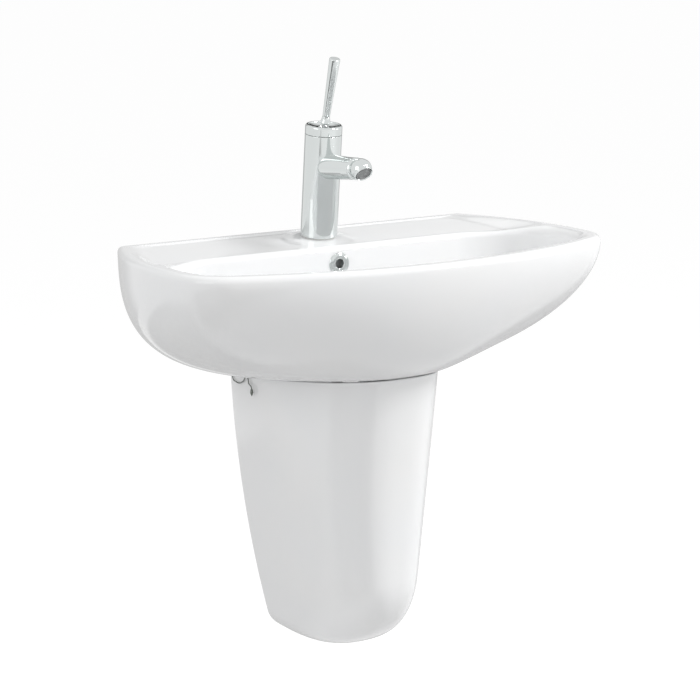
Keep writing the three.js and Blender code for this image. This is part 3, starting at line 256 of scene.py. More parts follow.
def surface(name, grid, wrap_rows=False, sharp=40):
    """A mesh object from a grid of points, rows by columns. Each row closes on itself; rows that
    wrap close into a tube. Equal points merge, so poles close, and faces turn to enclose a volume
    above 0."""
    grid = np.asarray(grid, float)
    count, width = grid.shape[:2]
    index = np.arange(count * width).reshape(count, width)
    index = np.hstack([index, index[:, :1]])
    if wrap_rows:
        index = np.vstack([index, index[:1]])
    quads = np.stack([index[:-1, :-1], index[:-1, 1:], index[1:, 1:], index[1:, :-1]], axis=-1)
    mesh = bpy.data.meshes.new(name)
    mesh.from_pydata((grid.reshape(-1, 3) / 1000).tolist(), [], quads.reshape(-1, 4).tolist())
    shape = bmesh.new()
    shape.from_mesh(mesh)
    bmesh.ops.remove_doubles(shape, verts=shape.verts, dist=2e-7)
    if shape.calc_volume(signed=True) < 0:
        bmesh.ops.reverse_faces(shape, faces=shape.faces)
    shape.to_mesh(mesh)
    shape.free()
    mesh.set_sharp_from_angle(angle=radians(sharp))
    made = bpy.data.objects.new(name, mesh)
    bpy.context.scene.collection.objects.link(made)
    return made


def moved(grid, place):
    """Points turned and shifted by a matrix."""
    turn = np.array(place.to_3x3())
    return np.asarray(grid, float) @ turn.T + np.array(place.translation)


def capped(rows):
    """Rows with a point added at each end, in the middle of the end row, to close the shape."""
    rows = [np.asarray(row, float) for row in rows]
    first, last = (np.broadcast_to(row.mean(axis=0), row.shape) for row in (rows[0], rows[-1]))
    return [first, *rows, last]


def combine(made, others, operation="DIFFERENCE", sharp=40):
    """Cuts the other objects out of one, or joins them to it, and keeps the result as its mesh."""
    for other in others:
        step = made.modifiers.new("step", "BOOLEAN")
        step.operation, step.solver, step.object = operation, "EXACT", other
    graph = bpy.context.evaluated_depsgraph_get()
    mesh = bpy.data.meshes.new_from_object(made.evaluated_get(graph))
    made.modifiers.clear()
    made.data = mesh
    mesh.set_sharp_from_angle(angle=radians(sharp))
    for other in others:
        bpy.data.objects.remove(other)
    return made


def prism(name, outline, low, high, place=Matrix()):
    """An outline between two heights along Z, then turned and shifted into place."""
    outline = np.asarray(outline, float)
    rows = [np.column_stack([outline, np.broadcast_to(z, len(outline))]) for z in (low, high)]
    return surface(name, moved(capped(rows), place))


def box_outline(low_x, low_y, high_x, high_y):
    """The four corners of a rectangle."""
    return [(low_x, low_y), (high_x, low_y), (high_x, high_y), (low_x, high_y)]


def circle_outline(radius, sides=64):
    """A circle about zero."""
    return arc((0, 0), radius, np.linspace(0, 2 * pi, sides, endpoint=False))


def shift(x, y, z):
    """A matrix that moves by x, y and z."""
    return Matrix.Translation((x, y, z))


def turn_x(angle):
    """A matrix that turns about the X axis."""
    return Matrix.Rotation(angle, 4, "X")


def turn_y(angle):
    """A matrix that turns about the Y axis."""
    return Matrix.Rotation(angle, 4, "Y")


out_of_wall = turn_x(pi / 2)
tap_height_on_deck = rim - deck_step + (rim_width - tap_from_wall) * tan(deck_slope)
tap_base = (0, -tap_from_wall, tap_height_on_deck + tap_pad)
tap_place = shift(*tap_base) @ turn_x(tap_lean)
waste_seat = rim - bowl_depth
waste_hole, waste_recess, recess_depth, boss_radius, boss_thickness = 22, 33, 2.5, 34, 14
overflow_drop, overflow_hole, duct_width, duct_depth, duct_wall = 33, 12, 26, 8, 6
overflow_height = rim - overflow_drop
tap_hole = 17
stud_spacing, stud_hole, stud_room, stud_reach = 140, 9, 44, 62
access_half, access_reach = 72, 238


def step_plan(share):
    """The plan of the step between the deck and the rim, a share of its way up. It is wide at the
    deck's sides and narrower at its back. Beside the bowl, where it fades out, it lies nearer the
    outline."""
    edge = rim_plan(deck_edge_inset, deck_edge_inset, crest_corner)
    faded = smooth((-edge[:, 1] - bowl_from_wall) / deck_fade)[:, None]
    from_wall = mix(deck_edge_inset, crest_inset, share)
    bend = mix(deck_corner, crest_corner, share)
    inset = mix(side_deck_edge, crest_inset, share)
    front_inset = mix(front_deck_edge, front_crest, share)
    return mix(rim_plan(inset, from_wall, bend), rim_plan(front_inset, from_wall, bend), faded)


def glazed_rows():
    """Every row of the basin's skin: up the waste hole and the bowl, out over the deck and the rim,
    down the wall to the foot, and back under it to the waste hole."""
    round_bend = 1 - smooth(np.arange(bend_steps) / bend_steps)
    back = mirrored(np.concatenate([np.ones(back_steps), round_bend,
                                    np.zeros(side_steps + outline_steps + 1)]))
    edge = bowl_plan(0)
    beside = smooth((-edge[:, 1] - bowl_from_wall) / deck_fade)
    round_by = mix(back_round, front_round, beside)
    ease, recess_floor, hole = 0.6, waste_seat - recess_depth, waste_circle(waste_hole)
    rows = [ring(hole, underside(-waste_from_wall) + 0.5),
            ring(hole, recess_floor - ease),
            ring(waste_circle(waste_hole + ease), recess_floor),
            ring(waste_circle(waste_recess - ease), recess_floor),
            ring(waste_circle(waste_recess), recess_floor + ease),
            ring(waste_circle(waste_recess), waste_seat - ease),
            ring(waste_circle(waste_recess + ease), waste_seat)]
    rows += bowl_rows(0, bowl_steps, round_by, level(edge))
    for angle in np.linspace(0, pi / 2, edge_steps)[1:]:
        plans = [bowl_plan(radius * (1 - cos(angle))) for radius in (back_round, front_round)]
        plan = mix(*plans, beside[:, None])
        rows.append(ring(plan, level(plan) - round_by * (1 - sin(angle))))
    inner, outer = rows[-1][:, :2], step_plan(0)
    for share in np.linspace(0, 1, deck_steps)[1:]:
        plan = mix(inner, outer, share)
        rows.append(ring(plan, level(plan)))
    for share in np.linspace(0, 1, edge_steps)[1:]:
        plan = step_plan(share)
        rows.append(ring(plan, mix(level(plan), rim, smooth(share))))
    crest, brink = step_plan(1), rim_plan(lip, back_lip, back_bend)
    for share in (0.5, 1):
        rows.append(ring(mix(crest, brink, share), rim))
    fall = mix(lip, back_lip, back)
    for angle in np.linspace(0, pi / 2, edge_steps)[1:]:
        left = 1 - sin(angle)
        plan = rim_plan(lip * left, back_lip * left, back_bend)
        rows.append(ring(plan, rim - fall * (1 - cos(angle))))
    rows += wall_rows(0, wall_steps, rim - fall)[1:]
    foot = mix(rows[-1][:, :2], hole, 0.02)
    for plan in (foot, mix(foot, hole, 0.3), mix(foot, hole, 0.7), hole):
        rows.append(ring(plan, underside(plan[:, 1])))
    return rows


def hollow_rows():
    """Rows of the room inside the outer wall, from its floor to the underside of the deck."""
    plan = rim_plan(shell_wall, back_wall, back_bend)
    top = np.minimum(level(plan), rim - deck_step) - deck_thickness
    rows = wall_rows(shell_wall, hollow_steps, top)[::-1]
    inner = rows[-1][:, :2] * 0.5
    return [*rows, ring(inner, level(inner) - deck_thickness)]


def hollow():
    """The room inside the wall, less the bowl's body, the waste's boss and the overflow's duct."""
    room = surface("room", capped(hollow_rows()))
    bowl = surface("bowl", capped(bowl_rows(bowl_wall, hollow_steps, 0, rim)))
    foot = waste_seat - boss_thickness
    over_waste = shift(0, -waste_from_wall, 0)
    boss = prism("boss", circle_outline(boss_radius), foot, waste_seat, over_waste)
    half = duct_width / 2 + duct_wall
    duct_back = bowl_from_wall - bowl_wall - duct_depth - duct_wall
    duct = prism("duct", box_outline(-half, -bowl_from_wall, half, -duct_back), foot, rim)
    along_floor = box_outline(-half, -waste_from_wall, half, -duct_back)
    channel = prism("channel", along_floor, foot, waste_seat)
    return combine(room, [bowl, boss, duct, channel])


def basin_cutters():
    """What is cut from the basin: the hollow and its way in from below, the overflow's shaft and
    mouth, the tap's hole, and for each wall stud a hole and a slot to reach its nut."""
    access = oval_plan(access_half, access_reach, back_wall)
    floor = underside(access[:, 1])
    way_in = prism("way_in", access, floor - clearance, floor + shell_wall + 2)
    back, front = bowl_wall + duct_depth - bowl_from_wall, bowl_wall - bowl_from_wall
    low = waste_seat - boss_thickness + 4
    half = duct_width / 2
    shaft = prism("shaft", box_outline(-half, front, half, back), low,
                  overflow_height + overflow_hole)
    run = prism("run", box_outline(-half, -waste_from_wall, half, back), low, low + 6)
    mouth = prism("mouth", circle_outline(overflow_hole), 0, 2 * bowl_wall,
                  shift(0, back - 1, overflow_height) @ out_of_wall)
    tap = prism("tap", circle_outline(tap_hole), -3 * deck_thickness, 12, tap_place)
    cutters = [hollow(), way_in, shaft, run, mouth, tap]
    for side in (-1, 1):
        x = side * stud_spacing
        place = shift(x, 0, 0) @ out_of_wall
        cutters.append(prism("stud", circle_outline(stud_hole), -2, back_wall + 2, place))
        slot = box_outline(x - stud_room / 2, -back_wall - stud_reach,
                           x + stud_room / 2, -back_wall - 1)
        cutters.append(prism("slot", slot, underside(0) - clearance, -rim / 3))
    return cutters


def shader_of(name, colour, roughness, metallic=0.0):
    """A new material whose shader has these values, with its node tree."""
    made = bpy.data.materials.new(name)
    made.use_nodes = True
    tree = made.node_tree
    shader = tree.nodes["Principled BSDF"]
    shader.inputs["Base Color"].default_value = (*colour, 1)
    shader.inputs["Roughness"].default_value = roughness
    shader.inputs["Metallic"].default_value = metallic
    return made, tree, shader


def noise(tree, scale, detail=3.0, stretch=(1, 1, 1)):
    """A soft noise over the object, drawn out along an axis by a stretch under 1."""
    place = tree.nodes.new("ShaderNodeTexCoord")
    mapping = tree.nodes.new("ShaderNodeMapping")
    mapping.inputs["Scale"].default_value = stretch
    texture = tree.nodes.new("ShaderNodeTexNoise")
    texture.inputs["Scale"].default_value = scale
    texture.inputs["Detail"].default_value = detail
    tree.links.new(place.outputs["Object"], mapping.inputs["Vector"])
    tree.links.new(mapping.outputs["Vector"], texture.inputs["Vector"])
    return texture.outputs["Fac"]


def spread(tree, source, low, high, from_low=0.3, from_high=0.7):
    """The source, from_low to from_high, turned into values from low to high."""
    span = tree.nodes.new("ShaderNodeMapRange")
    span.inputs["From Min"].default_value = from_low
    span.inputs["From Max"].default_value = from_high
    span.inputs["To Min"].default_value = low
    span.inputs["To Max"].default_value = high
    tree.links.new(source, span.inputs["Value"])
    return span.outputs["Result"]


def blend_colour(tree, share, low, high):
    """A colour between two, by a share that changes over the surface."""
    blend = tree.nodes.new("ShaderNodeMix")
    blend.data_type = "RGBA"
    blend.inputs["A"].default_value = (*low, 1)
    blend.inputs["B"].default_value = (*high, 1)
    tree.links.new(share, blend.inputs["Factor"])
    return blend.outputs["Result"]


def computed(tree, operation, *sources):
    """One value out of one or two others, by a sum such as the larger of them."""
    node = tree.nodes.new("ShaderNodeMath")
    node.operation = operation
    for number, source in enumerate(sources):
        tree.links.new(source, node.inputs[number])
    return node.outputs["Value"]


def relief(tree, shader, source, height):
    """Raises the surface a little where the source is high; the height is in metres."""
    bump = tree.nodes.new("ShaderNodeBump")
    bump.inputs["Distance"].default_value = height
    tree.links.new(source, bump.inputs["Height"])
    tree.links.new(bump.outputs["Normal"], shader.inputs["Normal"])


def glazed_ceramic():
    """White glaze with the faint waves that it sets in, and bare body where it meets the wall."""
    made, tree, shader = shader_of("glazed_ceramic", (0.88, 0.885, 0.89), 0.06)
    place = tree.nodes.new("ShaderNodeTexCoord")
    split = tree.nodes.new("ShaderNodeSeparateXYZ")
    tree.links.new(place.outputs["Object"], split.inputs["Vector"])
    bare = spread(tree, split.outputs["Y"], 0, 1, -0.0012, -0.0004)
    cloud = spread(tree, noise(tree, 9), 0, 1)
    glaze = blend_colour(tree, cloud, (0.875, 0.882, 0.89), (0.89, 0.892, 0.893))
    colour = tree.nodes.new("ShaderNodeMix")
    colour.data_type = "RGBA"
    tree.links.new(bare, colour.inputs["Factor"])
    tree.links.new(glaze, colour.inputs["A"])
    colour.inputs["B"].default_value = (0.78, 0.75, 0.69, 1)
    tree.links.new(colour.outputs["Result"], shader.inputs["Base Color"])
    glaze_gloss = spread(tree, noise(tree, 60), 0.05, 0.08)
    gloss = computed(tree, "MAXIMUM", glaze_gloss, spread(tree, bare, 0, 0.75, 0, 1))
    tree.links.new(gloss, shader.inputs["Roughness"])
    relief(tree, shader, noise(tree, 14, 1), 0.00008)
    return made


def finish(made, material, slot, body, *nodes):
    """Gives a piece its material, the nodes that it stands for and its body; the slot is not used.
    """
    made.data.materials.clear()
    made.data.materials.append(material)
    if nodes:
        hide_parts(*nodes)
    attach(made, body)
    return made


ceramic = glazed_ceramic()
basin = surface("glazed_basin", glazed_rows(), wrap_rows=True)
combine(basin, basin_cutters())
finish(basin, ceramic, "glazed_ceramic", "sink", "basin")

# ---------------------------------------------------------------- semi-pedestal
# A cast china shell, open to the wall and to the basin, that hides the trap. It narrows downwards
# and its front sweeps back to the wall at the foot. Two lugs inside its back edges take the wall
# studs, and four rubber buffers on its top edge hold a thin joint under the basin.
pedestal_half, pedestal_taper, pedestal_narrowing = 105.1, 11, 41.6
pedestal_reach, pedestal_shallower, pedestal_return = 270.6, 68.5, 40
pedestal_height, pedestal_wall, joint_gap = 368, 11, 2
sweep_from, side_sweep_from, sweep_power = 0.65, 0.905, 2.25
pedestal_steps, edge_round, wall_round = 70, 1.3, 1.5
lug_spacing, lug_drop, lug_thickness, lug_height, lug_hole = 62, 215, 14, 44, 6.5
lug_inwards, lug_outer, follow_share = 17, 93, 0.5
pedestal_top = rim - wall_drop - joint_gap


def sweep(share, start):
    """How much is left of a size towards the foot: all of it down to the start, then less by a
    superellipse."""
    gone = np.clip((share - start) / (1 - start), 0, 1)
    return (1 - gone**sweep_power) ** (1 / sweep_power)


def pedestal_section(share, inset):
    """Half width and depth of the shell at a share of its height: each is a quadratic in the share
    times its sweep, less the inset."""
    half = pedestal_half - pedestal_taper * share - pedestal_narrowing * share**2
    reach = pedestal_reach - pedestal_shallower * share + pedestal_return * share**2
    half = half * sweep(share, side_sweep_from) - inset
    reach = reach * sweep(share + inset / pedestal_height, sweep_from) - inset
    return np.maximum(half, 0.0), np.maximum(reach, 0.0)


def pedestal_side(share, inset, drop):
    """One side of the shell from the wall on the right round the front to the wall on the left,
    with its corners at the wall eased. Near the top each point's own share falls below the row's
    towards the front, found by repeated correction, so that the edge follows the basin's
    underside."""
    half, reach = pedestal_section(share, inset)
    bend = min(wall_round, half, reach)
    corner = arc((half - bend, -bend), bend, np.linspace(pi / 2, 0, 4, endpoint=False))
    shares = np.linspace(0, 1, pedestal_steps)
    outline = oval_outline(half, max(reach, bend), bend, foot_exponent, shares)
    x, y = np.vstack([corner, outline]).T
    own = np.full(len(x), float(share))
    for _ in range(4):
        own_half, own_reach = pedestal_section(own, inset)
        own_y = y * own_reach / max(reach, tiny)
        own = share + underside_rise * own_y / pedestal_height * (1 - smooth(share / follow_share))
    height = pedestal_top - own * pedestal_height - drop
    side = np.column_stack([x * own_half / max(half, tiny), own_y, height])
    return np.vstack([side, side[-2::-1] * [-1, 1, 1]])


def pedestal_row(share, outer_inset, inner_inset, drop):
    """A closed row at a share of the height: the outside one way and the inside back again."""
    return np.vstack([pedestal_side(share, outer_inset, drop),
                      pedestal_side(share, inner_inset, drop)[::-1]])


def pedestal_rows():
    """Rows of the shell from the middle of its top edge over the rounded edge and down to the foot,
    closer together where the front sweeps back."""
    middle = pedestal_wall / 2
    rows = [pedestal_row(0, middle, middle, 0)]
    for angle in np.linspace(0, pi / 2, 6):
        in_by, drop = edge_round * (1 - sin(angle)), edge_round * (1 - cos(angle))
        rows.append(pedestal_row(0, in_by, pedestal_wall - in_by, drop))
    swept = mix(sweep_from, 1, np.sin(np.linspace(0, pi / 2, 44)) ** (2 / sweep_power))
    for share in [*np.linspace(0, sweep_from, 40)[1:-1], *swept]:
        drop = edge_round * (1 - smooth(share / follow_share))
        rows.append(pedestal_row(share, 0, pedestal_wall, drop))
    return rows


pedestal = surface("glazed_pedestal", pedestal_rows())
lugs = []
for side in (-1, 1):
    inner, outer = sorted((side * (lug_spacing - lug_inwards), side * lug_outer))
    outline = box_outline(inner, -lug_height / 2, outer, lug_height / 2)
    lugs.append(prism("lug", outline, 0.01, lug_thickness, shift(0, 0, -lug_drop) @ out_of_wall))
combine(pedestal, lugs, "UNION")
lug_holes = [prism("lug_hole", circle_outline(lug_hole, 32), -2, lug_thickness + 2,
                   shift(side * lug_spacing, 0, -lug_drop) @ out_of_wall) for side in (-1, 1)]
combine(pedestal, lug_holes)
finish(pedestal, ceramic, "glazed_ceramic", "sink", "semi_pedestal")


def grey_rubber():
    """Matt rubber with a fine grain."""
    made, tree, shader = shader_of("grey_rubber", (0.42, 0.42, 0.42), 0.7)
    grain = noise(tree, 900)
    tree.links.new(spread(tree, grain, 0.6, 0.8), shader.inputs["Roughness"])
    relief(tree, shader, grain, 0.00005)
    return made


rubber = grey_rubber()
for place in ("left_back", "left_front", "right_back", "right_front"):
    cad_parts["buffer_" + place].data.materials[0] = rubber

# ---------------------------------------------------------------- wall fixings
# Each side of the basin hangs on a threaded steel stud in the wall, through a flanged plastic bush,
# with a washer and a hexagon nut. The semi-pedestal's lugs have thinner studs, washers and nuts.
gap = 0.3
stud_radius, bush_flange_radius, bush_flange = 5, 14, 3
washer_thickness, nut_height, nut_across, washer_share = 2, 8, 17, 0.75
lug_stud_radius, lug_nut_across = 4, 13
thread_steps, thread_depth, thread_fill, thread_end = 32, 0.55, 0.9, 0.8
nut_chamfer, chamfer_slope, bore_chamfer = 1.6, 1.7, 0.7
round_steps = 96


def eased(profile, radius, steps=4):
    """A profile whose corners become short curves: each starts and ends at most the radius from the
    corner, with a point beside it so that the flats next to it stay flat in shading."""
    line = np.asarray(profile, float)
    loops = np.allclose(line[0], line[-1])
    corner = line[:-1] if loops else line[1:-1]
    before = np.roll(corner, 1, axis=0) if loops else line[:-2]
    after = np.roll(corner, -1, axis=0) if loops else line[2:]
    back, ahead = before - corner, after - corner
    back_length, ahead_length = np.hypot(*back.T)[:, None], np.hypot(*ahead.T)[:, None]
    reach = np.minimum(radius, 0.4 * np.minimum(back_length, ahead_length))
    start, end = corner + back / back_length * reach, corner + ahead / ahead_length * reach
    share = np.linspace(0, 1, steps + 1)[None, :, None]
    curve = start[:, None] * (1 - share) ** 2 + 2 * corner[:, None] * share * (1 - share)
    curve = curve + end[:, None] * share**2
    lead_in, lead_out = mix(corner, start, 1.2)[:, None], mix(corner, end, 1.2)[:, None]
    points = np.concatenate([lead_in, curve, lead_out], axis=1).reshape(-1, 2)
    return points if loops else np.vstack([line[:1], points, line[-1:]])


def spun(radii, height, angle):
    """Rows of points about the Z axis: at each height a radius for every angle."""
    radii = np.broadcast_to(radii, (len(height), len(angle)))
    return np.stack([radii * np.cos(angle), radii * np.sin(angle),
                     np.broadcast_to(height[:, None], radii.shape)], axis=-1)


def turned(name, profile, place=Matrix(), ease=0.5, sides=round_steps):
    """A profile of radius and height, its corners eased, turned about the Z axis and placed."""
    loops = np.allclose(profile[0], profile[-1])
    radius, height = eased(profile, ease).T
    angle = np.linspace(0, 2 * pi, sides, endpoint=False)
    return surface(name, moved(spun(radius[:, None], height, angle), place), wrap_rows=loops)


def closed(*points):
    """A profile that returns to its first point."""
    return [*points, points[0]]


def ring_profile(inner, outer, low, high):
    """A plain ring's section."""
    return closed((inner, low), (outer, low), (outer, high), (inner, high))


def bar_profile(radius, low, high):
    """A plain round bar's section."""
    return [(0, low), (radius, low), (radius, high), (0, high)]


def threaded(name, radius, pitch, low, high, place):
    """A bar whose radius dips in a V once each pitch, a turn of the angle shifting it by a pitch;
    the ends taper off as a cut thread's do."""
    angle = np.linspace(0, 2 * pi, thread_steps, endpoint=False)
    height = np.linspace(low, high, max(int((high - low) / pitch * 6), 12))
    phase = height[:, None] / pitch - angle[None, :] / (2 * pi)
    dip = np.abs(phase % 1 - 0.5) * 2
    end = np.minimum(height - low, high - height)[:, None]
    radii = radius - thread_depth * pitch * dip * thread_fill
    radii = radii - np.clip(thread_end - end, 0, thread_end)
    return surface(name, capped(moved(spun(radii, height, angle), place)))


def hex_nut(name, across, bore, low, high, place):
    """A hexagon nut: its radius is the smaller of the hexagon's and a cone's that chamfers both
    ends, with a chamfered bore inside."""
    angle = np.linspace(0, 2 * pi, round_steps, endpoint=False)
    hexagon = across / 2 / np.cos((angle + pi / 6) % (pi / 3) - pi / 6)
    rise = np.linspace(0, nut_chamfer, 7)
    height = np.concatenate([low + rise, high - rise[::-1]])
    cone = across * 0.5 + chamfer_slope * np.minimum(height - low, high - height)
    radii = np.minimum(hexagon[None, :], cone[:, None])
    inside = np.array([bore + bore_chamfer, bore, bore, bore + bore_chamfer])
    radii = np.vstack([radii, np.broadcast_to(inside[:, None], (4, round_steps))])
    height = np.concatenate([height, [high, high - bore_chamfer, low + bore_chamfer, low]])
    return surface(name, moved(spun(radii, height, angle), place), wrap_rows=True, sharp=25)


def zinc_steel():
    """Zinc-plated steel: a pale grey metal with a fine mottle."""
    made, tree, shader = shader_of("zinc_steel", (0.58, 0.59, 0.6), 0.3, 1)
    mottle = noise(tree, 400)
    colour = blend_colour(tree, mottle, (0.5, 0.51, 0.53), (0.66, 0.66, 0.66))
    tree.links.new(colour, shader.inputs["Base Color"])
    tree.links.new(spread(tree, mottle, 0.24, 0.42), shader.inputs["Roughness"])
    return made


def moulded_plastic(name, low, high):
    """Moulded plastic with a faint orange peel and a slight change of tone."""
    made, tree, shader = shader_of(name, high, 0.4)
    peel = noise(tree, 500)
    tree.links.new(blend_colour(tree, noise(tree, 30), low, high), shader.inputs["Base Color"])
    tree.links.new(spread(tree, peel, 0.35, 0.5), shader.inputs["Roughness"])
    relief(tree, shader, peel, 0.00003)
    return made


steel = zinc_steel()
white_plastic = moulded_plastic("white_plastic", (0.74, 0.74, 0.72), (0.8, 0.8, 0.785))
grey_plastic = moulded_plastic("grey_plastic", (0.24, 0.25, 0.26), (0.29, 0.3, 0.31))
for name, side in (("left", -1), ("right", 1)):
    place = shift(side * stud_spacing, 0, 0) @ out_of_wall
    seat = back_wall + gap
    washer_seat = seat + bush_flange + gap
    nut_seat = washer_seat + washer_thickness + gap
    stud_end = back_wall + bush_flange + washer_thickness + nut_height + 8
    stud = threaded("threaded_stud_" + name, stud_radius, 1.5, 0, stud_end, place)
    finish(stud, steel, "steel", "sink", "wall_stud_" + name)
    profile = closed((stud_radius + gap, 1), (stud_hole - gap, 1), (stud_hole - gap, seat),
                     (bush_flange_radius, seat), (bush_flange_radius, seat + bush_flange),
                     (stud_radius + gap, seat + bush_flange))
    bush = turned("bush_" + name, profile, place)
    finish(bush, white_plastic, "white_plastic", "sink", "wall_bush_" + name)
    profile = ring_profile(stud_radius + gap, nut_across * washer_share, washer_seat,
                           washer_seat + washer_thickness)
    washer = turned("washer_" + name, profile, place, 0.3)
    finish(washer, steel, "steel", "sink", "wall_washer_" + name)
    nut = hex_nut("hex_nut_" + name, nut_across, stud_radius + gap, nut_seat,
                  nut_seat + nut_height, place)
    finish(nut, steel, "steel", "sink", "wall_nut_" + name)

    place = shift(side * lug_spacing, 0, -lug_drop) @ out_of_wall
    washer_seat = lug_thickness + gap
    nut_seat = washer_seat + washer_thickness + gap
    stud_end = lug_thickness + washer_thickness + nut_height + 6
    stud = threaded("lug_stud_" + name, lug_stud_radius, 1.25, 0, stud_end, place)
    finish(stud, steel, "steel", "sink", "pedestal_stud_" + name)
    profile = ring_profile(lug_stud_radius + gap, lug_nut_across * washer_share, washer_seat,
                           washer_seat + washer_thickness)
    washer = turned("lug_washer_" + name, profile, place, 0.3)
    finish(washer, steel, "steel", "sink", "pedestal_washer_" + name)
    nut = hex_nut("lug_nut_" + name, lug_nut_across, lug_stud_radius + gap, nut_seat,
                  nut_seat + nut_height, place)
    finish(nut, steel, "steel", "sink", "pedestal_nut_" + name)

# ---------------------------------------------------------------- wire clip
# A thin dark spring wire hooks over the semi-pedestal's left edge beside the wall. One length hangs
# outside in a bow, and a second ends in a small drop-shaped pull.
wire_radius, drop_radius, drop_length, hook_bend = 0.7, 2.1, 10, 1.2
slant, wire_sides = (0.62, 0.55, 0.56), 16
clipped_edge = -105
clip_outside = clipped_edge - wire_radius - 1
clip_inside = clipped_edge + pedestal_wall + wire_radius + 2


def clip_line(y):
    """Height of the middle of the joint between the basin and the semi-pedestal."""
    return underside(y) - joint_gap / 2


def bent_path(corners, steps=8):
    """A line through corners, each with x, y, z and the length of its bend, with curved bends."""
    corners = np.array(corners, float)
    points, bend = corners[:, :3], corners[1:-1, 3:]
    back, ahead = points[:-2] - points[1:-1], points[2:] - points[1:-1]
    start = points[1:-1] + bend * back / np.linalg.norm(back, axis=1, keepdims=True)
    end = points[1:-1] + bend * ahead / np.linalg.norm(ahead, axis=1, keepdims=True)
    share = np.linspace(0, 1, steps)[None, :, None]
    curve = start[:, None] * (1 - share) ** 2 + 2 * points[1:-1, None] * share * (1 - share)
    curve = curve + end[:, None] * share**2
    return np.vstack([points[:1], curve.reshape(-1, 3), points[-1:]])


def wire(name, corners):
    """A round section of the wire's radius carried along a bent path. The section's axes come from
    the path's direction and a slanted line; the path never runs along that line."""
    path = bent_path(corners)
    along = np.gradient(path, axis=0)
    along /= np.linalg.norm(along, axis=1, keepdims=True)
    across = np.cross(slant, along)
    across /= np.linalg.norm(across, axis=1, keepdims=True)
    other = np.cross(along, across)
    angle = np.linspace(0, 2 * pi, wire_sides, endpoint=False)[None, :, None]
    section = across[:, None] * np.cos(angle) + other[:, None] * np.sin(angle)
    return surface(name, capped(path[:, None] + wire_radius * section))


def spring_wire():
    """Dark phosphated wire, a little worn to bare metal in spots."""
    made, tree, shader = shader_of("spring_wire", (0.2, 0.215, 0.195), 0.4, 0.6)
    worn = spread(tree, noise(tree, 700), 0, 1, 0.45, 0.75)
    colour = blend_colour(tree, worn, (0.15, 0.165, 0.15), (0.3, 0.315, 0.3))
    tree.links.new(colour, shader.inputs["Base Color"])
    tree.links.new(spread(tree, worn, 0.5, 0.3, 0, 1), shader.inputs["Roughness"])
    return made


dark_wire = spring_wire()
back, front, leg = -7, -47, 10
bow = wire("wire_bow", [(clip_inside, back, clip_line(back) - leg, 0),
                        (clip_inside, back, clip_line(back), hook_bend),
                        (clip_outside, back, clip_line(back), hook_bend),
                        (clip_outside, back - 5, clip_line(back) - 7.5, 3),
                        (clip_outside, back - 21, clip_line(back) - 9, 5),
                        (clip_outside, front + 6, clip_line(front) - 7.5, 3),
                        (clip_outside, front, clip_line(front), hook_bend),
                        (clip_inside, front, clip_line(front), hook_bend),
                        (clip_inside, front, clip_line(front) - leg, 0)])
finish(bow, dark_wire, "dark_wire", "sink", "clip_bow")
tail_y = -53
drop_at = (clip_outside - 1, tail_y - 12, clip_line(tail_y) - 17)
tail = wire("wire_tail", [(clip_inside, tail_y, clip_line(tail_y) - leg, 0),
                          (clip_inside, tail_y, clip_line(tail_y), hook_bend),
                          (clip_outside, tail_y, clip_line(tail_y), hook_bend),
                          (clip_outside, tail_y - 2, clip_line(tail_y) - 9, 2),
                          (drop_at[0], drop_at[1], clip_line(tail_y) - 12, 2),
                          (*drop_at, 0)])
finish(tail, dark_wire, "dark_wire", "sink", "clip_tail")
socket, drop_top = wire_radius + gap, 2.5
drop = turned("wire_drop", [(0, drop_top - drop_length),
                            (drop_radius * 0.6, drop_top - drop_length * 0.75),
                            (drop_radius, drop_top - drop_length * 0.5),
                            (drop_radius * 0.8, drop_top - drop_length * 0.2),
                            (socket + 0.3, drop_top), (socket, drop_top), (socket, -gap),
                            (0, -gap)], shift(*drop_at), 1, 32)
finish(drop, dark_wire, "dark_wire", "sink", "clip_drop")

# ---------------------------------------------------------------- overflow ring
# A pressed and chromed ring lines the overflow hole in the bowl's back wall. Its throat grips the
# sides of the hole.
throat, throat_outer, ring_outer = 6, overflow_hole - gap, 14.5


def chrome_plate():
    """Bright chrome whose polish varies a little, with the faint wipe marks of cleaning."""
    made, tree, shader = shader_of("chrome_plate", (0.67, 0.7, 0.695), 0.04, 1)
    wiped = spread(tree, noise(tree, 70, 4, (1, 1, 0.3)), 0.03, 0.085)
    tree.links.new(wiped, shader.inputs["Roughness"])
    return made


chrome = chrome_plate()
profile = closed((throat + 2.5, -bowl_wall), (throat_outer, -bowl_wall), (throat_outer, gap),
                 (ring_outer, gap), (ring_outer - 0.5, 1.2), (ring_outer - 4, 2.8), (throat, 2.2),
                 (throat, -2))
overflow_ring = turned("pressed_overflow_ring", profile,
                       shift(0, -bowl_from_wall, overflow_height) @ out_of_wall, 1)
finish(overflow_ring, chrome, "chrome", "sink", "overflow_ring")

# ---------------------------------------------------------------- tap body
# The tap's body is one chromed brass casting, a leaning cylinder with the spout growing out of it.
# It stands on a moulded seal, and a cap ring screws on top over the cartridge.
tap_radius, tap_height, cap_height, seal_height = 24, 148, 12, 1.5
cap_lip, rosette_depth = 4, 6
spout_height, spout_rise, spout_bore, spout_reach = 93, radians(10.5), 8, 86.7
spout_root, spout_radius, taper_end = 16.2, 14.2, 70
cartridge_radius, cartridge_length, cartridge_nut_radius, cartridge_nut_height = 17.5, 30, 19.7, 10
tap_stud_radius, tap_stud_length, tap_stud_depth = 4, 62, 15
inlet_radius, inlet_spacing, inlet_depth = 5, 7.5, 24
ring_spigot, ring_spigot_radius = 6, spout_bore + 2
body_top = tap_height - cap_height - gap
body_foot = seal_height + 2 * gap
chamber_floor = body_top - cartridge_nut_height - gap - cartridge_length
spout_place = tap_place @ shift(0, 0, spout_height) @ turn_x(pi / 2 - spout_rise)
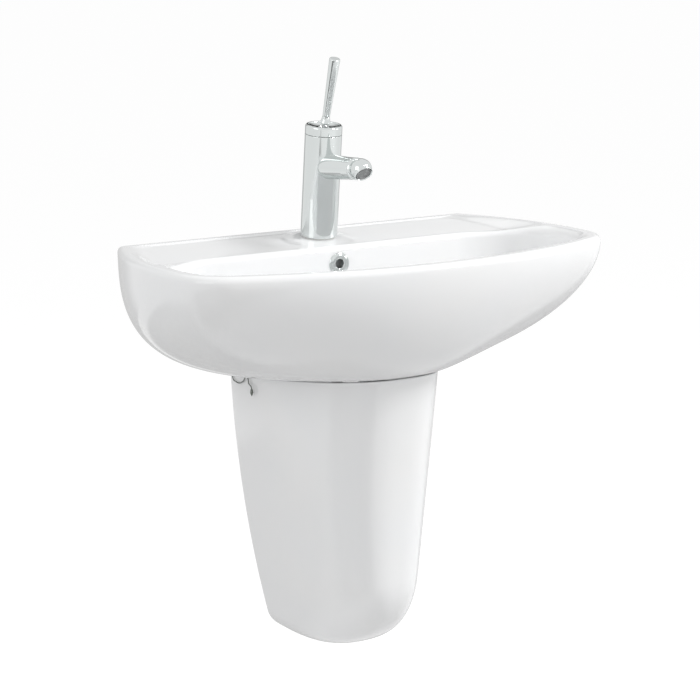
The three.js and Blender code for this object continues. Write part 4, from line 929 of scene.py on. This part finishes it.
tap_stud_place = tap_place @ shift(0, tap_radius / 3, 0)


def round_bar(name, radius, low, high, place=tap_place, sides=round_steps):
    """A plain round bar between two heights, for cutting."""
    return prism(name, circle_outline(radius, sides), low, high, place)


profile = [(0, body_foot), (tap_radius - 0.3, body_foot), (tap_radius, body_foot + 0.8),
           (tap_radius, body_top), (0, body_top)]
body = turned("cast_tap_body", profile, tap_place, 0.5, 160)
spout = turned("spout", [(0, 0), (spout_root, 0), (spout_root, tap_radius - 4),
                         (spout_radius, taper_end), (spout_radius, spout_reach), (0, spout_reach)],
               spout_place, 0.3, 128)
combine(body, [spout], "UNION", 30)
cutters = [round_bar("spigot_seat", ring_spigot_radius + gap, spout_reach - ring_spigot - gap,
                     spout_reach + 3, spout_place),
           round_bar("waterway", spout_bore, 2, spout_reach - 2, spout_place),
           round_bar("chamber", cartridge_radius + gap, chamber_floor - gap, body_top + 3),
           round_bar("nut_seat", cartridge_nut_radius + gap, body_top - cartridge_nut_height,
                     body_top + 2),
           round_bar("stud_hole", tap_stud_radius + gap, body_foot - 2,
                     body_foot + tap_stud_depth + 1, tap_stud_place, 32)]
cutters += [round_bar("inlet", inlet_radius, body_foot - 2, body_foot + inlet_depth,
                      tap_place @ shift(side * inlet_spacing, -4, 0), 32) for side in (-1, 1)]
combine(body, cutters, sharp=30)
finish(body, chrome, "chrome", "sink", "tap_body")
seal = turned("moulded_seal", ring_profile(tap_hole + 1, tap_radius - 1.5, gap, gap + seal_height),
              tap_place)
finish(seal, white_plastic, "white_plastic", "sink", "tap_seal")

cap_low, ledge = tap_height - cap_height, tap_height - rosette_depth
cap_opening = tap_radius - cap_lip
cap = turned("turned_cap", closed((cartridge_nut_radius, cap_low), (tap_radius, cap_low),
                                  (tap_radius, tap_height - 1.6), (tap_radius - 1.6, tap_height),
                                  (cap_opening + 0.8, tap_height), (cap_opening, tap_height - 0.8),
                                  (cap_opening, ledge), (cartridge_nut_radius - 2, ledge),
                                  (cartridge_nut_radius, ledge - 3)), tap_place, 0.8, 160)
finish(cap, chrome, "chrome", "sink", "tap_cap")

# ---------------------------------------------------------------- cartridge and lever
# A ceramic disc cartridge sits in the body under a brass nut. Its spindle turns with a dished
# chrome rosette, and a steel stem on a cross pin carries the collar and the tapered pin lever.
stem_radius, spindle_radius, pivot_height, lever_lean = 3, 8, 134, radians(11)
cross_pin_radius, pin_foot, pin_top, pin_length = 1.5, 4.8, 7, 78
collar_radius, collar_height = 6.8, 10
dish_depth, slot_depth, stem_tail = 2.5, 6, 4.5
spindle_low = body_top - cartridge_nut_height
pivot_place = tap_place @ shift(0, 0, pivot_height)
cross_place = pivot_place @ turn_y(pi / 2)
lever_place = pivot_place @ turn_x(lever_lean)
collar_low = tap_height - pivot_height + 2
collar_high = collar_low + collar_height
collar_seat = collar_low + collar_height / 2


def plain_brass():
    """Machined brass with its turning marks round the tap's axis."""
    made, tree, shader = shader_of("plain_brass", (0.7, 0.5, 0.22), 0.3, 1)
    marks = noise(tree, 250, 3, (0.15, 0.15, 1))
    colour = blend_colour(tree, marks, (0.62, 0.43, 0.18), (0.76, 0.56, 0.27))
    tree.links.new(colour, shader.inputs["Base Color"])
    tree.links.new(spread(tree, marks, 0.22, 0.42), shader.inputs["Roughness"])
    return made


brass = plain_brass()
profile = bar_profile(cartridge_radius, chamber_floor, chamber_floor + cartridge_length - gap)
cartridge = turned("moulded_cartridge", profile, tap_place)
finish(cartridge, white_plastic, "white_plastic", "sink", "cartridge")
profile = ring_profile(spindle_radius + gap, cartridge_nut_radius, spindle_low, body_top - gap)
cartridge_nut = turned("turned_cartridge_nut", profile, tap_place)
finish(cartridge_nut, brass, "brass", "sink", "cartridge_nut")

spindle = turned("moulded_spindle", bar_profile(spindle_radius, spindle_low, ledge), tap_place)
slot_half, past_spindle = stem_radius + gap, spindle_radius + 1
outline = box_outline(-slot_half, -past_spindle, slot_half, past_spindle)
slot = prism("slot", outline, pivot_height - slot_depth, ledge + 1, tap_place)
pin_hole = round_bar("pin_hole", cross_pin_radius + gap / 2, -past_spindle, past_spindle,
                     cross_place, 24)
combine(spindle, [slot, pin_hole], sharp=30)
finish(spindle, white_plastic, "white_plastic", "lever_turn", "cartridge_spindle")
profile = bar_profile(cross_pin_radius, -spindle_radius, spindle_radius)
cross_pin = turned("ground_cross_pin", profile, cross_place, 0.3, 32)
finish(cross_pin, steel, "steel", "lever_turn", "lever_pivot_pin")

rosette_outer, rosette_hole, rosette_low = cap_opening - gap, stem_radius + 3.4, ledge + gap
dish_share = np.linspace(0, 1, 14)
dish = np.column_stack([mix(rosette_outer - 0.8, rosette_hole + 0.6, dish_share),
                        tap_height - 1 - dish_depth * np.sin(dish_share * pi / 2)])
profile = closed((rosette_hole, rosette_low), (rosette_outer, rosette_low),
                 (rosette_outer, tap_height - 1.6), *dish,
                 (rosette_hole, tap_height - 2 - dish_depth))
rosette = turned("dished_rosette", profile, tap_place, 0.5, 128)
finish(rosette, chrome, "chrome", "lever_turn", "lever_rosette")

profile = bar_profile(stem_radius, -stem_tail, collar_seat - gap)
stem = turned("ground_stem", profile, lever_place, 0.4, 48)
stem_hole = round_bar("stem_hole", cross_pin_radius + gap, -spindle_radius, spindle_radius,
                      lever_place @ turn_y(pi / 2), 24)
combine(stem, [stem_hole], sharp=30)
finish(stem, steel, "steel", "lever", "lever_stem")
profile = closed((slot_half, collar_low), (collar_radius - 1, collar_low),
                 (collar_radius, collar_low + 1.5), (collar_radius - 0.6, collar_low + 3.5),
                 (pin_foot + 0.5, collar_high - 3), (pin_foot + 0.1, collar_high),
                 (0, collar_high), (0, collar_seat), (slot_half, collar_seat))
collar = turned("turned_collar", profile, lever_place, 0.8)
finish(collar, chrome, "chrome", "lever", "lever_collar")
pin_low = collar_high + gap
pin_high = pin_low + pin_length
pin = turned("turned_lever_pin", [(0, pin_low), (pin_foot, pin_low), (pin_top, pin_high - 0.8),
                                  (pin_top - 0.8, pin_high), (0, pin_high)], lever_place, 0.5)
finish(pin, chrome, "chrome", "lever", "lever_pin")

# ---------------------------------------------------------------- swivel nozzle
# A ring closes the spout's end and is the seat of a small nozzle that swings on a brass ball stud.
# The nozzle holds an aerator, a plastic insert with a fine wire mesh over its mouth.
nozzle_from_axis, nozzle_dip, nozzle_range = 100, radians(33.5), radians(25)
nozzle_radius, nozzle_mouth, nozzle_length = 13.5, 11.7, 9.2
ring_end, ball_radius, ball_neck, ball_bore, neck_ease = 91.3, 5, 2.2, 1.4, 0.5
stud_plug, stud_plug_depth = 6, 10
aerator_radius, aerator_depth = 9.8, 3.2
nozzle_swing = spout_rise + nozzle_dip
ball_place = spout_place @ shift(0, 0, nozzle_from_axis)
nozzle_place = ball_place @ turn_x(nozzle_swing)
nozzle_seat = nozzle_radius + gap


def on_circle(radius, angles):
    """Points of a circle in a profile, by the angle from its lowest point."""
    return np.column_stack([radius * np.sin(angles), -radius * np.cos(angles)])


ring_start, ring_stop = spout_reach - nozzle_from_axis + gap, ring_end - nozzle_from_axis
ring_tail = ring_start - ring_spigot - gap
mouth = sqrt(nozzle_seat**2 - ring_stop**2)
seat_angles = np.linspace(asin(mouth / nozzle_seat), asin(spout_bore / nozzle_seat), 8)
shoulder_angles = np.linspace(0, pi / 2, 9)
shoulder = np.column_stack([mix(spout_radius, mouth + 0.4, 1 - np.cos(shoulder_angles)),
                            mix(ring_start + 0.6, ring_stop, np.sin(shoulder_angles))])
profile = closed((spout_bore, ring_tail), (ring_spigot_radius, ring_tail),
                 (ring_spigot_radius, ring_start), (spout_radius, ring_start), *shoulder,
                 *on_circle(nozzle_seat, seat_angles))
spout_ring = turned("turned_spout_ring", profile, ball_place, 0.25, 128)
finish(spout_ring, chrome, "chrome", "sink", "nozzle_ring")

stud_tail = spout_reach - nozzle_from_axis - stud_plug_depth
plug_end = stud_tail + stud_plug
ball_angles = np.linspace(asin(ball_neck / ball_radius), pi - asin(ball_bore / ball_radius), 14)
profile = closed((ball_bore, stud_tail), (spout_bore - gap, stud_tail),
                 (spout_bore - gap, plug_end), (ball_neck, plug_end),
                 *on_circle(ball_radius, ball_angles))
ball = turned("ball_stud", profile, ball_place, 0.3, 64)
finish(ball, brass, "brass", "nozzle_turn", "nozzle_ball")

ball_room, aerator_bore = ball_radius + gap, aerator_radius + gap
bore_end = nozzle_length - aerator_depth - gap
last_angle = pi - asin(nozzle_mouth / nozzle_radius)
profile = [*on_circle(nozzle_radius, np.linspace(0, last_angle, 40)),
           (nozzle_mouth, nozzle_length - 0.4), (nozzle_mouth - 0.3, nozzle_length),
           (nozzle_mouth - 0.6, nozzle_length), (aerator_bore, nozzle_length - 1.3),
           (aerator_bore, bore_end), (ball_room, bore_end),
           *on_circle(ball_room, np.linspace(pi / 2, 0, 12))]
head = turned("turned_nozzle", profile, nozzle_place, 0.25, 128)
neck_slot = [round_bar("neck_slot", ball_neck + neck_ease, 0, nozzle_radius + 1,
                       nozzle_place @ turn_x(pi - nozzle_swing + share * nozzle_range), 32)
             for share in np.linspace(0, 1, 9)]
combine(head, neck_slot, sharp=30)
finish(head, chrome, "chrome", "nozzle", "nozzle_head")


def wire_mesh():
    """A fine square mesh of steel wire: two sets of waves, the higher of the two showing."""
    made, tree, shader = shader_of("wire_mesh", (0.3, 0.31, 0.31), 0.45, 0.7)
    place = tree.nodes.new("ShaderNodeTexCoord")
    weave = []
    for direction in ("X", "Z"):
        wave = tree.nodes.new("ShaderNodeTexWave")
        wave.bands_direction = direction
        wave.inputs["Scale"].default_value = 330
        tree.links.new(place.outputs["Object"], wave.inputs["Vector"])
        weave.append(wave.outputs["Fac"])
    wires = spread(tree, computed(tree, "MAXIMUM", *weave), 0, 1, 0.55, 0.9)
    # The light waves are the mesh's own wires; the dark colour between them is painted shade for
    # the openings.
    colour = blend_colour(tree, wires, (0.1, 0.105, 0.105), (0.52, 0.53, 0.53))
    tree.links.new(colour, shader.inputs["Base Color"])
    relief(tree, shader, wires, 0.0003)
    return made


mesh_low, mesh_rim = nozzle_length - aerator_depth, nozzle_length - 0.8
profile = [(0, mesh_low), (aerator_radius, mesh_low), (aerator_radius, mesh_rim),
           (aerator_radius - 1.2, mesh_rim), (aerator_radius - 1.5, nozzle_length - 1.6),
           (0, nozzle_length - 1.2)]
aerator = turned("aerator_insert", profile, nozzle_place, 0.3)
finish(aerator, wire_mesh(), "aerator_mesh", "nozzle", "aerator")

# ---------------------------------------------------------------- tap clamp
# Under the deck the tap is held by one threaded stud: a slotted rubber pad, a slotted brass plate
# and a brass nut pull its foot down.
clamp_radius, clamp_rubber, clamp_plate, clamp_slot = 21, 3, 2, 7
clamp_top = -deck_thickness - tap_pad - clamp_radius * tan(tap_lean - deck_slope)
plate_top = clamp_top - clamp_rubber - gap
clamp_nut_top = plate_top - clamp_plate - gap
tap_stud_top = body_foot + tap_stud_depth


def clamp_piece(name, low, high, radius):
    """A disc with a slot for the hoses and a hole for the stud."""
    disc = turned(name, bar_profile(radius, low, high), tap_place, 0.4)
    outline = box_outline(-clamp_slot, -radius - 2, clamp_slot, -2)
    slot = prism("slot", outline, low - 1, high + 1, tap_place)
    hole = round_bar("hole", tap_stud_radius + gap, low - 1, high + 1, tap_stud_place, 32)
    return combine(disc, [slot, hole], sharp=30)


pad = clamp_piece("clamp_pad", clamp_top - clamp_rubber, clamp_top, clamp_radius)
finish(pad, rubber, "rubber", "sink", "clamp_rubber")
plate = clamp_piece("slotted_plate", plate_top - clamp_plate, plate_top, clamp_radius - 1)
finish(plate, brass, "brass", "sink", "clamp_plate")
tap_stud = threaded("threaded_tap_stud", tap_stud_radius, 1.25, tap_stud_top - tap_stud_length,
                    tap_stud_top, tap_stud_place)
finish(tap_stud, steel, "steel", "sink", "tap_stud")
clamp_nut = hex_nut("hex_clamp_nut", lug_nut_across, tap_stud_radius + gap,
                    clamp_nut_top - nut_height, clamp_nut_top, tap_stud_place)
finish(clamp_nut, brass, "brass", "sink", "clamp_nut")

# ---------------------------------------------------------------- waste and plug
# A flanged chrome waste sits in the bowl's recess on a rubber seal, and a back nut clamps it from
# below. A plastic cross inside guides the stem of the push plug, whose domed cap covers the flange.
waste_flange_radius, waste_flange, waste_tube, waste_wall, waste_length = 32, 2.5, 20.5, 3.5, 78
overflow_slot_half, overflow_slot_rise, waste_run_height = 8, 3, 7
back_nut_across, back_nut_height, washer_depth = 56, 9, 3
guide_top, guide_height, guide_wall, hub_wall, spoke_half = -14, 8, 2, 2.5, 1.5
plug_radius, plug_height, plug_stem_radius, plug_travel = 31, 5, 4, 7
waste_place = shift(0, -waste_from_wall, waste_seat)
waste_bore, flange_seat = waste_tube - waste_wall, 1.5 - waste_flange
profile = closed((waste_bore, -waste_length), (waste_tube, -waste_length),
                 (waste_tube, flange_seat), (waste_flange_radius, flange_seat),
                 (waste_flange_radius - 2, flange_seat + waste_flange),
                 (waste_bore + 4, flange_seat + 1), (waste_bore, flange_seat - 3))
waste = turned("flanged_waste", profile, waste_place, 0.6)
slot_middle = waste_run_height - boss_thickness
outline = box_outline(-waste_tube - 1, -overflow_slot_half, waste_tube + 1, overflow_slot_half)
overflow_slot = prism("overflow_slot", outline, slot_middle - overflow_slot_rise,
                      slot_middle + overflow_slot_rise, waste_place)
combine(waste, [overflow_slot], sharp=30)
finish(waste, chrome, "chrome", "sink", "waste_body")
profile = ring_profile(waste_hole + 1, waste_flange_radius - 1, 0.2 - waste_flange,
                       1.3 - waste_flange)
upper_seal = turned("waste_seal", profile, waste_place, 0.3)
finish(upper_seal, rubber, "rubber", "sink", "waste_upper_seal")
washer_top = -boss_thickness - gap
washer_low = washer_top - washer_depth
profile = ring_profile(waste_tube + gap, back_nut_across / 2, washer_low, washer_top)
lower_washer = turned("waste_washer", profile, waste_place)
finish(lower_washer, rubber, "rubber", "sink", "waste_lower_washer")
back_nut_top = washer_low - gap
back_nut = hex_nut("hex_back_nut", back_nut_across, waste_tube + gap,
                   back_nut_top - back_nut_height, back_nut_top, waste_place)
finish(back_nut, brass, "brass", "sink", "waste_back_nut")

guide_low, guide_outer = guide_top - guide_height, waste_bore - gap
profile = ring_profile(guide_outer - guide_wall, guide_outer, guide_low, guide_top)
guide = turned("guide_cross", profile, waste_place)
hub = turned("hub", bar_profile(plug_stem_radius + hub_wall, guide_low, guide_top), waste_place)
spoke = prism("spoke", box_outline(1 - guide_outer, -spoke_half, guide_outer - 1, spoke_half),
              guide_low + 0.1, guide_top - 0.1, waste_place)
combine(guide, [hub, spoke], "UNION", 30)
plug_socket = plug_stem_radius + gap
stem_way = round_bar("stem_way", plug_socket, guide_low - 1, guide_top + 1, waste_place, 48)
combine(guide, [stem_way], sharp=30)
finish(guide, grey_plastic, "grey_plastic", "sink", "plug_guide")

plug_seat = 1.5 + gap
socket_end = plug_seat + 2
dome_share = np.linspace(0, 1, 12)
dome = np.column_stack([(plug_radius - 0.6) * (1 - dome_share),
                        plug_seat + mix(1.6, plug_height, np.sin(dome_share * pi / 2) ** 0.8)])
profile = [*dome[::-1], (plug_radius, plug_seat + 1), (plug_radius - 1, plug_seat),
           (plug_socket, plug_seat), (plug_socket, socket_end), (0, socket_end)]
plug = turned("domed_plug", profile, waste_place, 0.5, 128)
finish(plug, chrome, "chrome", "plug", "plug_cap")
profile = bar_profile(plug_stem_radius, guide_low - plug_travel - 4, socket_end - gap)
plug_stem = turned("turned_plug_stem", profile, waste_place, 0.5, 48)
finish(plug_stem, brass, "brass", "plug", "plug_stem")

# ---------------------------------------------------------------- bottle trap
# A chromed bottle trap: a union nut holds the inlet tube to the waste, a fluted one holds it to the
# trap's head, and the tube dips into a cup that screws on the head. A level outlet pipe runs from
# the head through a flange into the wall.
pipe_radius, pipe_wall = 16, 2
head_radius, head_height, head_wall, trap_drop = 24, 58, 3, 52
cup_radius, cup_height = 31, 76
union_radius, union_height, union_flutes, flute_depth = 25, 22, 24, 0.9
flange_radius, flange_depth = 34, 9
tube_end = -waste_length
trap_top = tube_end - trap_drop
trap_bottom = trap_top - head_height
outlet_height = trap_top - head_radius + 2
outlet_place = waste_place @ shift(0, 0, outlet_height) @ turn_x(-pi / 2)


def fluted(name, inner, outer, low, high, place):
    """A union nut: a ring whose outside dips in shallow round flutes, as the size of a sine of the
    angle, which die out at its ends."""
    radius, height = eased(ring_profile(inner, outer, low, high), 1.5, 6).T
    outside = np.clip((radius - inner) / (outer - inner) * 3 - 2, 0, 1)
    middle = mix(low + 2.5, high - 2.5, np.linspace(0, 1, 12)[1:-1])
    corner = np.flatnonzero((outside > 0.99) & (height < low + 3)).max() + 1
    radius, outside = (np.insert(values, corner, np.full(len(middle), between))
                       for values, between in ((radius, outer), (outside, 1)))
    height = np.insert(height, corner, middle)
    depth_here = flute_depth * outside * smooth((height - low) / 4) * smooth((high - height) / 4)
    angle = np.linspace(0, 2 * pi, union_flutes * 8, endpoint=False)
    radii = radius[:, None] - depth_here[:, None] * (1 - np.abs(np.sin(angle * union_flutes / 2)))
    return surface(name, moved(spun(radii, height, angle), place), wrap_rows=True)


nut_low, nut_seat = tube_end - 12, tube_end - 6
nut_high = tube_end + 10
profile = closed((pipe_radius + gap, nut_low), (union_radius - 1, nut_low),
                 (union_radius, nut_low + 2), (union_radius, nut_high),
                 (waste_tube + gap, nut_high), (waste_tube + gap, nut_seat),
                 (pipe_radius + gap, nut_seat))
inlet_nut = turned("inlet_union", profile, waste_place, 1)
finish(inlet_nut, chrome, "chrome", "sink", "trap_inlet_nut")
inner_pipe, dip_end = pipe_radius - pipe_wall, trap_bottom - cup_height / 2
collar_bottom, collar_top = nut_seat + gap, tube_end - gap
profile = closed((inner_pipe, dip_end), (pipe_radius, dip_end), (pipe_radius, collar_bottom),
                 (waste_tube, collar_bottom), (waste_tube, collar_top), (inner_pipe, collar_top))
inlet_tube = turned("inlet_tube", profile, waste_place, 0.3)
finish(inlet_tube, chrome, "chrome", "sink", "trap_inlet_tube")
neck_nut = fluted("neck_union", pipe_radius + gap, union_radius, trap_top + gap,
                  trap_top + union_height, waste_place)
finish(neck_nut, chrome, "chrome", "sink", "trap_neck_nut")

profile = [(0, trap_bottom), (head_radius, trap_bottom), (head_radius, trap_top - 3),
           (head_radius - 3, trap_top), (0, trap_top)]
head = turned("trap_casting", profile, waste_place, 2, 128)
spigot_reach = head_radius + 14
spigot = turned("spigot", bar_profile(head_radius - 4, 0, spigot_reach), outlet_place, 1, 128)
combine(head, [spigot], "UNION", 30)
cutters = [round_bar("bore", head_radius - head_wall, trap_bottom - 1, trap_top - 6, waste_place),
           round_bar("inlet", pipe_radius + gap, trap_bottom, trap_top + 1, waste_place),
           round_bar("outlet", pipe_radius + gap, 8, spigot_reach + 1, outlet_place)]
combine(head, cutters, sharp=30)
finish(head, chrome, "chrome", "sink", "trap_head")

cup_top, cup_low, cup_inner = trap_bottom + 12, trap_bottom - cup_height, cup_radius - 3
cup_seat, seat_top = head_radius + gap, trap_bottom - gap
profile = [(0, cup_low), (cup_radius - 12, cup_low), (cup_inner, cup_low + 5),
           (cup_radius, cup_low + 16), (cup_radius, cup_top - 12), (cup_radius - 0.8, cup_top - 11),
           (cup_radius - 0.8, cup_top - 10), (cup_radius, cup_top - 9), (cup_radius, cup_top),
           (cup_seat, cup_top), (cup_seat, seat_top), (head_radius - head_wall, seat_top),
           (cup_inner - 4, trap_bottom - 6), (cup_inner - 2, cup_low + 16),
           (cup_radius - 12, cup_low + 3), (0, cup_low + 3)]
cup = turned("trap_bottle", profile, waste_place, 3, 128)
finish(cup, chrome, "chrome", "sink", "trap_cup")
profile = ring_profile(inner_pipe, pipe_radius, spigot_reach - 18, waste_from_wall)
pipe = turned("outlet_tube", profile, outlet_place, 0.3)
finish(pipe, chrome, "chrome", "sink", "outlet_pipe")
outlet_nut = fluted("outlet_union", pipe_radius + gap, union_radius, spigot_reach + gap,
                    spigot_reach + gap + union_height, outlet_place)
finish(outlet_nut, chrome, "chrome", "sink", "outlet_nut")
flange_low, flange_inner = waste_from_wall - flange_depth, pipe_radius + gap
profile = closed((flange_inner, flange_low), (flange_inner + 8, flange_low),
                 (flange_radius, waste_from_wall), (flange_radius - 3, waste_from_wall),
                 (flange_inner + 7, flange_low + 1.5), (flange_inner, flange_low + 1.5))
wall_flange = turned("pressed_wall_flange", profile, outlet_place, 2)
finish(wall_flange, chrome, "chrome", "sink", "wall_flange")

# ---------------------------------------------------------------- camera
# The camera stands in front and to the left of the basin, a little above the rim, with a long lens.
camera_azimuth, camera_elevation, camera_roll = radians(30), radians(11.231), radians(-1.2)
camera_place = (-1.2616, -2.3205, 0.4434)
towards = Vector((-sin(camera_azimuth) * cos(camera_elevation),
                  -cos(camera_azimuth) * cos(camera_elevation), sin(camera_elevation)))
level_right = Vector((cos(camera_azimuth), -sin(camera_azimuth), 0))
level_up = towards.cross(level_right)
right = cos(camera_roll) * level_right + sin(camera_roll) * level_up
up = cos(camera_roll) * level_up - sin(camera_roll) * level_right
camera = bpy.data.objects.new("camera", bpy.data.cameras.new("camera"))
camera.data.sensor_width, camera.data.lens = 36, 102.857
camera.data.clip_end = 500
camera.matrix_world = Matrix((right, up, towards)).transposed().to_4x4()
camera.location = camera_place
bpy.context.scene.collection.objects.link(camera)
bpy.context.scene.camera = camera

# ---------------------------------------------------------------- floor and light
# A white floor lies under the hanging basin and fades into a white room, which gives even light
# from all sides. Soft lamps stand in front on the right, lower down on the right, and on the left.
# Cards, most of them dull, stand in for the rest of the room in the chrome's reflections; they glow
# there only, as painted reflections, and one bright card paints highlights.
floor_height, floor_size = -0.765, 120
room_light, floor_glow, floor_return = 0.76, 0.68, 0.17
middle, pedestal_middle, tap_middle = (0, -0.19, -0.1), (0, -0.15, -0.3), (0, -0.09, 0.2)


def seen_directly(tree):
    """1 for rays from the camera, through glass or off a gloss, 0 for rays that carry light."""
    path = tree.nodes.new("ShaderNodeLightPath")
    seen = path.outputs["Is Camera Ray"]
    for kind in ("Is Transmission Ray", "Is Glossy Ray"):
        seen = computed(tree, "MAXIMUM", seen, path.outputs[kind])
    return seen


def floor_paint():
    """White paint that the shadow of the object still darkens, seen from above only."""
    made, tree, shader = shader_of("floor_paint", (0.4, 0.4, 0.4), 0.9)
    shader.inputs["Specular IOR Level"].default_value = 0
    shader.inputs["Emission Color"].default_value = (1, 1, 1, 1)
    glow = spread(tree, seen_directly(tree), floor_return, floor_glow, 0, 1)
    tree.links.new(glow, shader.inputs["Emission Strength"])
    clear = tree.nodes.new("ShaderNodeBsdfTransparent")
    below = tree.nodes.new("ShaderNodeNewGeometry")
    choice = tree.nodes.new("ShaderNodeMixShader")
    tree.links.new(below.outputs["Backfacing"], choice.inputs["Fac"])
    tree.links.new(shader.outputs["BSDF"], choice.inputs[1])
    tree.links.new(clear.outputs["BSDF"], choice.inputs[2])
    tree.links.new(choice.outputs["Shader"], tree.nodes["Material Output"].inputs["Surface"])
    return made


def flat_sheet(name, width, height, z, material):
    """A flat rectangle about zero at a height, as a piece of the stage."""
    mesh = bpy.data.meshes.new(name)
    corners = [(x, y, z) for x, y in box_outline(-width / 2, -height / 2, width / 2, height / 2)]
    mesh.from_pydata(corners, [], [(0, 1, 2, 3)])
    mesh.materials.append(material)
    made = bpy.data.objects.new(name, mesh)
    bpy.context.scene.collection.objects.link(made)
    return made


flat_sheet("floor", 2 * floor_size, 2 * floor_size, floor_height, floor_paint())
world = bpy.data.worlds.new("room")
world.use_nodes = True
background = world.node_tree.nodes["Background"]
background.inputs["Color"].default_value = (1, 1, 1, 1)
strength = spread(world.node_tree, seen_directly(world.node_tree), room_light, 1, 0, 1)
world.node_tree.links.new(strength, background.inputs["Strength"])
bpy.context.scene.world = world


def facing(place, aim, axis, sign=1):
    """A matrix that puts a thing at a place with one of its axes towards the aim, or away from it
    where the sign is -1."""
    turn = (sign * (Vector(aim) - Vector(place))).to_track_quat(axis, "Y")
    return Matrix.Translation(place) @ turn.to_matrix().to_4x4()


for name, place, aim, size, power in (("key_lamp", (1.65, -1.9, 1.89), middle, 0.7, 45),
                                      ("left_lamp", (-2.78, -0.68, 0.93), middle, 1.6, 13),
                                      ("low_lamp", (2.59, -1.57, 0.32), pedestal_middle, 1, 8)):
    light = bpy.data.lights.new(name, "AREA")
    light.size, light.energy = size, power
    lamp = bpy.data.objects.new(name, light)
    lamp.matrix_world = facing(place, aim, "-Z")
    bpy.context.scene.collection.objects.link(lamp)


def card_paint(name, width, height, tone, soft):
    """Paint that glows in a grey tone and fades out towards the card's edges."""
    made, tree, shader = shader_of(name, (0, 0, 0), 1)
    shader.inputs["Specular IOR Level"].default_value = 0
    shader.inputs["Emission Color"].default_value = (tone, tone, tone, 1)
    shader.inputs["Emission Strength"].default_value = 1
    place = tree.nodes.new("ShaderNodeTexCoord")
    split = tree.nodes.new("ShaderNodeSeparateXYZ")
    tree.links.new(place.outputs["Object"], split.inputs["Vector"])
    shares = []
    for axis, half in (("X", width / 2), ("Y", height / 2)):
        away = computed(tree, "ABSOLUTE", split.outputs[axis])
        shares.append(spread(tree, away, 1, 0, half * (1 - soft), half))
    tree.links.new(computed(tree, "MULTIPLY", *shares), shader.inputs["Alpha"])
    return made


def card(name, place, aim, width, height, tone, soft=0.25):
    """A card that faces the aim and shows in reflections only."""
    paint = card_paint(name + "_paint", width, height, tone, soft)
    shown = flat_sheet(name, width, height, 0, paint)
    shown.matrix_world = facing(place, aim, "Z", -1)
    shown.visible_camera = shown.visible_diffuse = False
    shown.visible_shadow = shown.visible_transmission = False


on_floor = floor_height + 0.01
card("back_card", (0.8, 1.6, 0.3), tap_middle, 3.2, 3, 0.6)
card("ground_card", (0.4, 0.9, on_floor), (0.4, 0.9, 1), 3.6, 1.5, 0.6)
# A near-black card paints dark reflections into the chrome.
card("dark_back_card", (0.95, 1.4, 0.85), tap_middle, 0.6, 0.42, 0.03, 0.04)
# A small bright card paints highlights on the glaze and the chrome.
card("bright_card", (0.37, -2.28, 2.02), middle, 0.3, 0.14, 14)
# A grey card on the floor paints the floor's shade into its reflections.
card("grey_floor_card", (-1.45, -1.0, on_floor), (-1.45, -1.0, 1), 2.2, 2.6, 0.3)

bpy.context.scene.view_settings.view_transform = "Standard"
